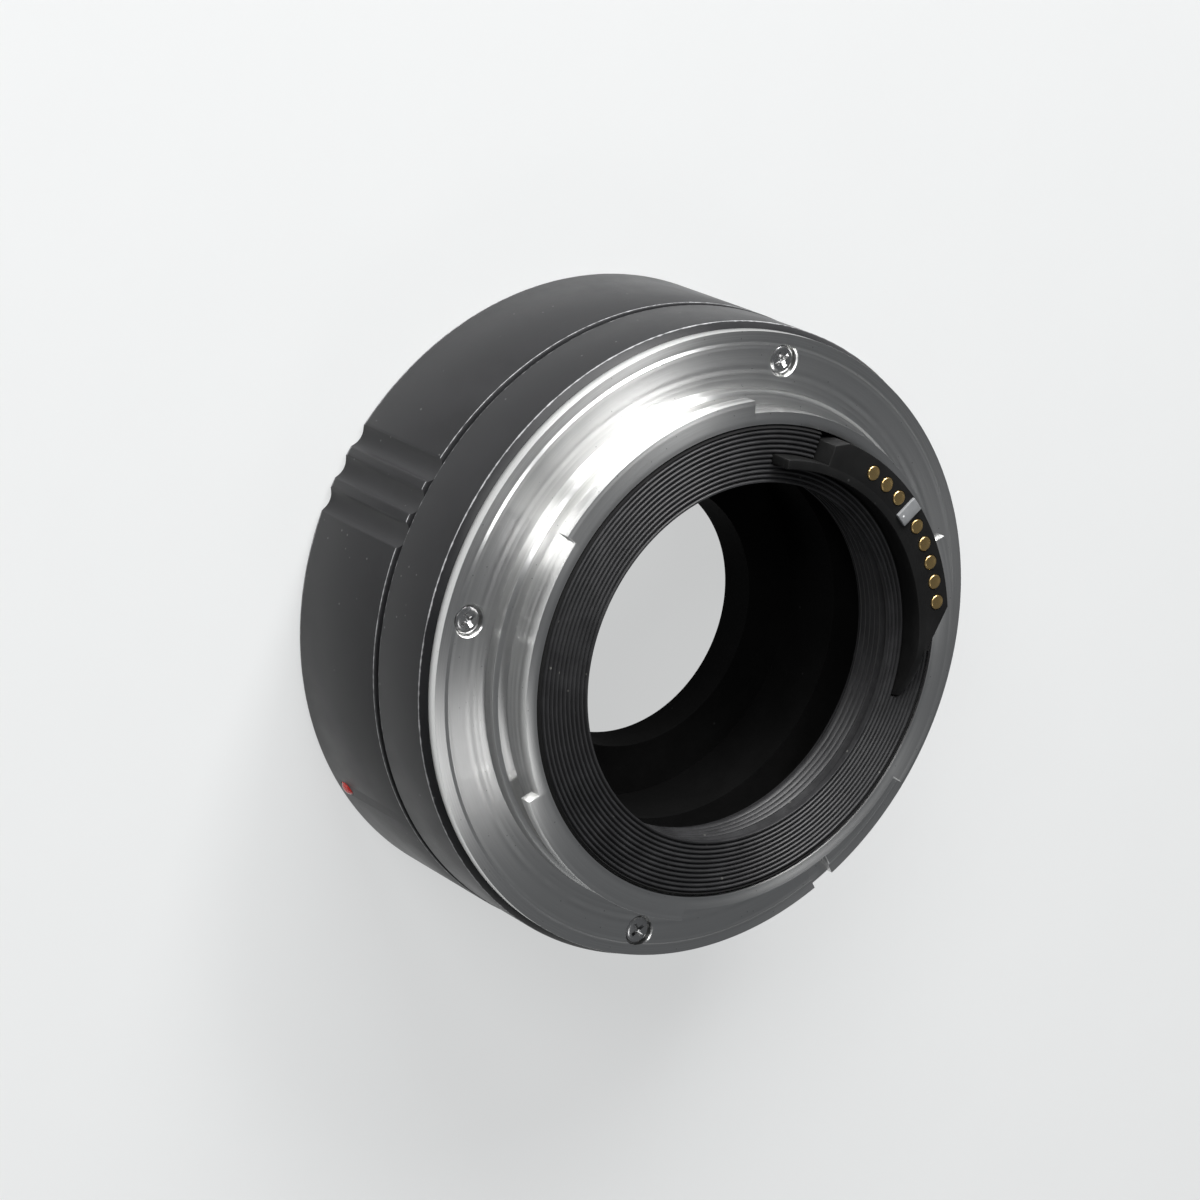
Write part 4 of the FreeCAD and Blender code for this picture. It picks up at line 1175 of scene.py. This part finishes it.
class TUBE_OT_baffle(bpy.types.Operator):
    """Turn the ridged baffle and cut the slots for the contact block and its guard"""

    bl_idname = "tube.baffle"
    bl_label = "Rear baffle"

    def execute(self, context):
        size = context.scene.tube_sizes
        face = SEAT_Z + size.baffle_top
        skirt_r = size.collar_bore_r - FIT
        inner_skirt_r = skirt_r - size.skirt_wall
        tube_end = face - size.baffle_tube_length
        tube_r = size.baffle_bore_r + size.baffle_tube_wall
        plate_z = face - size.baffle_plate
        soft = 0.03 * MM                # easing of the face's edges
        outline = [
            (inner_skirt_r, size.skirt_z),
            (skirt_r, size.skirt_z),
            (skirt_r, face - size.baffle_bevel),
            (size.baffle_face_r + 0.04 * MM, face - soft),
            (size.baffle_face_r - 0.02 * MM, face),
        ]
        half_crest = size.ridge_crest / 2
        for number in range(size.ridge_count):
            r = size.ridge_r - size.ridge_pitch * number
            outline += [
                (r + size.ridge_pitch / 2, face - size.ridge_depth),
                (r + half_crest + soft, face - soft),
                (r + half_crest, face),
                (r - half_crest, face),
            ]
            if number < size.ridge_count - 1:
                outline.append((r - half_crest - soft, face - soft))
        lip_z = face - size.lip_drop
        groove_r = size.baffle_bore_r + size.lip_groove_depth
        z = lip_z - size.lip_groove_width
        outline += [
            (size.baffle_lip_r + soft, face),
            (size.baffle_lip_r, face - soft),
            (size.baffle_lip_r, lip_z),
            (groove_r, lip_z),
            (groove_r, z),
        ]
        crest_end = (size.bore_ridge_pitch + size.bore_ridge_crest) / 2
        for _ in range(size.bore_ridge_count):
            outline += [
                (size.baffle_bore_r, z - crest_end + size.bore_ridge_crest),
                (size.baffle_bore_r, z - crest_end),
                (size.baffle_bore_r + size.bore_ridge_depth, z - size.bore_ridge_pitch),
            ]
            z -= size.bore_ridge_pitch
        outline += [
            (size.baffle_bore_r, tube_end),
            (tube_r, tube_end),
            (tube_r, plate_z),
            (inner_skirt_r, plate_z),
        ]
        baffle = turn("ridged_baffle", outline)
        slot_r = size.block_inner_r - size.guard_wall - FIT
        end_play = 0.4                  # degrees
        for outer_r, first, last in ((skirt_r, size.block_nose, size.block_end),
                                     (size.block_inner_r, size.guard_start, size.guard_end)):
            carve(baffle, sector("slot_tool", slot_r, outer_r + FIT, plate_z - FIT, face + FIT,
                                 math.degrees(first) - end_play, math.degrees(last) + end_play))
        finish(baffle, "tube", "baffle_black", ["rear_baffle"], smooth=50.0)
        return {"FINISHED"}


class TUBE_OT_contact_block(bpy.types.Operator):
    """Extrude the contact block from its plan, with the guard wall and the base"""

    bl_idname = "tube.contact_block"
    bl_label = "Contact block"

    def execute(self, context):
        size = context.scene.tube_sizes
        plate_z = SEAT_Z + size.baffle_top - size.baffle_plate
        top = size.block_z
        corner = size.block_end - size.block_corner
        outline = self.arc(size.block_inner_r, size.block_nose, size.block_end)
        outline.append(self.at(size.block_corner_r, size.block_end))
        outline += self.arc(size.block_outer_r, corner, size.block_start)
        block = extrude_plan("contact_block", outline, plate_z, top)
        ease_edges(block, 0.12 * MM, corner=25.0, segments=3)
        bite = 0.12 * MM                # how far the guard reaches into the block
        step = 0.005 * MM               # its top is this much lower, so that no faces coincide
        guard_r = size.block_inner_r - size.guard_wall
        guard = sector("guard", guard_r, size.block_inner_r + bite, plate_z, top - step,
                       math.degrees(size.guard_start), math.degrees(size.guard_end))
        self.lower_tail(guard, size, top)
        ease_edges(guard, 0.1 * MM, corner=40.0, segments=3)
        carve(block, guard, "UNION")
        base_r = size.collar_bore_r - FIT - size.skirt_wall - 0.3 * MM
        base_depth = 1.2 * MM
        base = sector("base", guard_r, base_r, plate_z - base_depth, plate_z + 0.02 * MM, *BASE_SECTOR)
        carve(block, base, "UNION")
        hole_r = size.stud_r + 0.03 * MM
        drill(block, [
            (0.0, top - size.stud_length),
            (hole_r, top - size.stud_length),
            (hole_r, top - 0.06 * MM),
            (size.stud_r + 0.12 * MM, top + 0.05 * MM),
            (0.0, top + 0.05 * MM),
        ], size.contact_circle_r, contact_angles(size), STUD_HOLE_STEPS)
        finish(block, "tube", "moulding_black", ["rear_contact_block"], smooth=35.0)
        return {"FINISHED"}

    def at(self, r, turned):
        """A point on a circle."""
        return (r * math.cos(turned), r * math.sin(turned))

    def arc(self, r, first, last):
        """Points of an arc, one each degree."""
        count = max(2, round(abs(math.degrees(last - first))))
        return [self.at(r, first + (last - first) * i / count) for i in range(count + 1)]

    def lower_tail(self, guard, size, top):
        """Let the guard's tail fall in a curve to the baffle's face."""
        edit(guard)
        bpy.ops.mesh.select_mode(type="VERT")
        drop = top - SEAT_Z - size.baffle_top
        run = size.guard_full - size.guard_start
        for i in range(round(math.degrees(run) * 2)):
            turned = math.degrees(size.guard_start) + 0.5 * i
            share = math.sin(math.radians(math.degrees(size.guard_full) - turned)) / math.sin(run)
            bpy.ops.mesh.select_all(action="DESELECT")
            shape = bmesh.from_edit_mesh(guard.data)
            for point in shape.verts:
                off = (turn_of(point.co) - turned + 180.0) % 360.0 - 180.0
                point.select_set(abs(off) < 0.1 and point.co.z > top - 0.1 * MM)
            bmesh.update_edit_mesh(guard.data)
            bpy.ops.transform.translate(value=(0, 0, -drop * share ** 2))
        leave_edit()


def contact_angles(size):
    """The contacts' angles in degrees, three and then five."""
    return [math.degrees(first - size.contact_pitch * i)
            for first, many in ((size.contact_first, 3), (size.contact_second, 5)) for i in range(many)]


class TUBE_OT_contact_studs(bpy.types.Operator):
    """Turn one gold stud with a rounded rim and set eight copies in the block"""

    bl_idname = "tube.contact_studs"
    bl_label = "Contact studs"

    def execute(self, context):
        size = context.scene.tube_sizes
        r = size.stud_r
        rise = size.stud_rise
        stud = turn("stud", [
            (0.0, rise - 0.035 * MM),
            (r * 0.60, rise - 0.030 * MM),
            (r * 0.70, rise - 0.012 * MM),
            (r * 0.78, rise),
            (r * 0.88, rise - 0.012 * MM),
            (r * 0.95, rise - 0.045 * MM),
            (r, rise - 0.11 * MM),
            (r, -size.stud_length),
            (0.0, -size.stud_length),
        ], steps=SMALL_STEPS, pole=True)
        for number, degrees in enumerate(contact_angles(size), 1):
            piece = copy_of(stud, "contact_stud_%d" % number)
            place(piece, size.contact_circle_r, degrees, size.block_z)
            finish(piece, "tube", "contact_gold", ["rear_contact_%d" % number], smooth=50.0)
        clear_away(stud)
        return {"FINISHED"}


class TUBE_OT_contact_key(bpy.types.Operator):
    """Extrude the grey rib between the two groups of contacts"""

    bl_idname = "tube.contact_key"
    bl_label = "Grey key"

    def execute(self, context):
        size = context.scene.tube_sizes
        rib = slab("grey_key", size.block_inner_r + size.key_inset, size.block_outer_r - size.key_inset,
                   size.key_width / 2, size.block_z - OVERLAP, size.block_z + size.key_height)
        ease_edges(rib, 0.1 * MM, segments=3)
        swing(rib, size.key_angle)
        finish(rib, "tube", "key_grey", ["contact_key"], smooth=40.0)
        return {"FINISHED"}


class TUBE_OT_light_shield(bpy.types.Operator):
    """Turn the light shield with its flared hole, and cut its rooms for the front contact block"""

    bl_idname = "tube.light_shield"
    bl_label = "Light shield"

    def execute(self, context):
        size = context.scene.tube_sizes
        back = size.shield_floor_z + size.shield_floor
        lip_r = size.shield_hole_back_r + size.shield_lip
        floor_low = size.shield_floor_z - size.shield_ring_height
        step = size.shield_ring_pitch / 2
        outline = [
            (size.shield_hole_back_r, back),
            (size.shield_hole_r, size.shield_front),
            (lip_r - size.shield_taper, size.shield_front),
            (lip_r, size.shield_floor_z),
        ]
        for number in range(6):
            r = lip_r + size.shield_ring_pitch * (number + 1)
            outline += [(r, size.shield_floor_z), (r, floor_low), (r + step, floor_low),
                        (r + step, size.shield_floor_z)]
        inner_r = size.shield_tube_r - size.shield_wall
        rim_low = size.shield_rim_z - size.shield_rim
        outline += [
            (size.shield_r, size.shield_floor_z),
            (size.shield_r, back),
            (size.shield_tube_r, back),
            (size.shield_tube_r, rim_low),
            (size.shield_rim_r, rim_low),
            (size.shield_rim_r, size.shield_rim_z),
            (inner_r, size.shield_rim_z),
            (inner_r, back),
        ]
        shield = turn("light_shield_cup", outline)
        for angles, top in ((FRONT_BLOCK_SECTOR, back + OVERLAP), (FRONT_EARS_SECTOR, size.shield_floor_z)):
            carve(shield, sector("room_tool", *FRONT_BLOCK_ROOM, floor_low - OVERLAP, top, *angles))
        finish(shield, "tube", "shield_black", ["light_shield"], smooth=40.0)
        return {"FINISHED"}


class TUBE_OT_release_slide(bpy.types.Operator):
    """Turn the ribbed pad of the release slide"""

    bl_idname = "tube.release_slide"
    bl_label = "Release slide"

    def execute(self, context):
        size = context.scene.tube_sizes
        low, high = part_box("release_slide")
        grooves = 5
        mouth, bed, depth = 0.3 * MM, 0.18 * MM, 0.42 * MM      # half widths of a groove, and its depth
        near = size.sleeve_r + 0.15 * MM
        far = near + size.slide_thickness
        pitch = size.slide_length / (grooves + 1)
        outline = [(near, low.z), (far, low.z)]
        for number in range(grooves):
            middle = low.z + pitch * (number + 1)
            outline += [(far, middle - mouth), (far - depth, middle - bed), (far - depth, middle + bed),
                        (far, middle + mouth)]
        outline += [(far, high.z), (near, high.z)]
        half = math.degrees(math.asin(size.slide_width / 2 / near))
        middle = math.degrees(size.lock_angle)
        slide = turn("release_pad", outline, middle - half, middle + half)
        ease_edges(slide, 0.14 * MM, corner=35.0, segments=3)
        finish(slide, "release", "slide_black", ["release_slide"], smooth=35.0)
        return {"FINISHED"}


class TUBE_OT_stage(bpy.types.Operator):
    """Set the floor, the soft lights and the camera"""

    bl_idname = "tube.stage"
    bl_label = "Stage"

    def execute(self, context):
        clear_selection()
        bpy.ops.mesh.primitive_plane_add(size=6.0, location=(0, 0, 0))
        floor = context.object
        name_piece(floor, "floor")
        floor_paper(context.scene.tube_colours.floor)
        paint(floor, "floor_paper")
        self.soft_light("key_light", (-0.151, 0.543, 0.225), 0.50, 0.35, 5.6)
        self.soft_light("front_light", (0.0, 0.493, 0.362), 0.15, 0.15, 1.2)
        self.soft_light("camera_light", (-0.42, 0.232, 0.38), 0.18, 0.18, 1.0)
        self.soft_light("fill_light", (0.12, -0.233, 0.56), 0.12, 0.12, 0.14)
        world = bpy.data.worlds.new("studio")
        world.use_nodes = True
        background = world.node_tree.nodes["Background"]
        background.inputs["Color"].default_value = (0.93, 0.96, 1.0, 1.0)
        background.inputs["Strength"].default_value = 0.12
        context.scene.world = world
        self.aim_camera(context)
        context.scene.view_settings.view_transform = "Standard"
        return {"FINISHED"}

    def soft_light(self, name, spot, width, height, power):
        """A rectangular lamp that faces the tube's middle."""
        clear_selection()
        bpy.ops.object.light_add(type="AREA", location=spot)
        lamp = bpy.context.object
        lamp.name = name
        lamp.data.shape = "RECTANGLE"
        lamp.data.size = width
        lamp.data.size_y = height
        lamp.data.energy = power
        tube_middle = Vector((0.0, 0.0, 0.02))
        lamp.rotation_euler = (tube_middle - Vector(spot)).to_track_quat("-Z", "Y").to_euler()

    def aim_camera(self, context):
        """Put the camera where the fit to the tube's circles has it."""
        clear_selection()
        bpy.ops.object.camera_add()
        camera = context.object
        right = Vector((0.78912, 0.23826, 0.56613))
        up = Vector((-0.09737, 0.95857, -0.26772))
        back = Vector((-0.60646, 0.15613, 0.77963))
        turned = Matrix((right, up, back)).transposed()
        camera.matrix_world = Matrix.LocRotScale(Vector((-0.25217, 0.06461, 0.32971)),
                                                 turned.to_quaternion(), Vector((1, 1, 1)))
        camera.data.lens = 120.0
        camera.data.sensor_width = 36.0
        camera.data.clip_start = 0.01
        camera.data.clip_end = 20.0
        context.scene.camera = camera


PIECE_OPERATORS = [
    TUBE_OT_finishes, TUBE_OT_rear_mount, TUBE_OT_mount_screws, TUBE_OT_front_mount, TUBE_OT_front_sleeve,
    TUBE_OT_rear_barrel, TUBE_OT_index_dots, TUBE_OT_baffle, TUBE_OT_contact_block, TUBE_OT_contact_studs,
    TUBE_OT_contact_key, TUBE_OT_light_shield, TUBE_OT_release_slide, TUBE_OT_stage,
]


class TUBE_PT_panel(bpy.types.Panel):
    """The tube's pieces in the sidebar"""

    bl_idname = "TUBE_PT_panel"
    bl_label = "Extension tube"
    bl_space_type = "VIEW_3D"
    bl_region_type = "UI"
    bl_category = "Tube"

    def draw(self, context):
        for operator in PIECE_OPERATORS:
            self.layout.operator(operator.bl_idname)
        for group in (context.scene.tube_sizes, context.scene.tube_colours):
            column = self.layout.column()
            for name in group.bl_rna.properties.keys():
                if name not in ("rna_type", "name"):
                    column.prop(group, name, text=label_of(name))


CLASSES = [TubeSizes, TubeColours] + PIECE_OPERATORS + [TUBE_PT_panel]


def register():
    for item in CLASSES:
        bpy.utils.register_class(item)
    bpy.types.Scene.tube_sizes = bpy.props.PointerProperty(type=TubeSizes)
    bpy.types.Scene.tube_colours = bpy.props.PointerProperty(type=TubeColours)


def unregister():
    del bpy.types.Scene.tube_colours
    del bpy.types.Scene.tube_sizes
    for item in reversed(CLASSES):
        bpy.utils.unregister_class(item)


def main():
    register()
    bpy.ops.tube.finishes()
    bpy.ops.tube.rear_mount()
    bpy.ops.tube.mount_screws()
    bpy.ops.tube.front_mount()
    bpy.ops.tube.front_sleeve()
    bpy.ops.tube.rear_barrel()
    bpy.ops.tube.index_dots()
    bpy.ops.tube.baffle()
    bpy.ops.tube.contact_block()
    bpy.ops.tube.contact_studs()
    bpy.ops.tube.contact_key()
    bpy.ops.tube.light_shield()
    bpy.ops.tube.release_slide()
    bpy.ops.tube.stage()


if __name__ == "__main__":
    main()
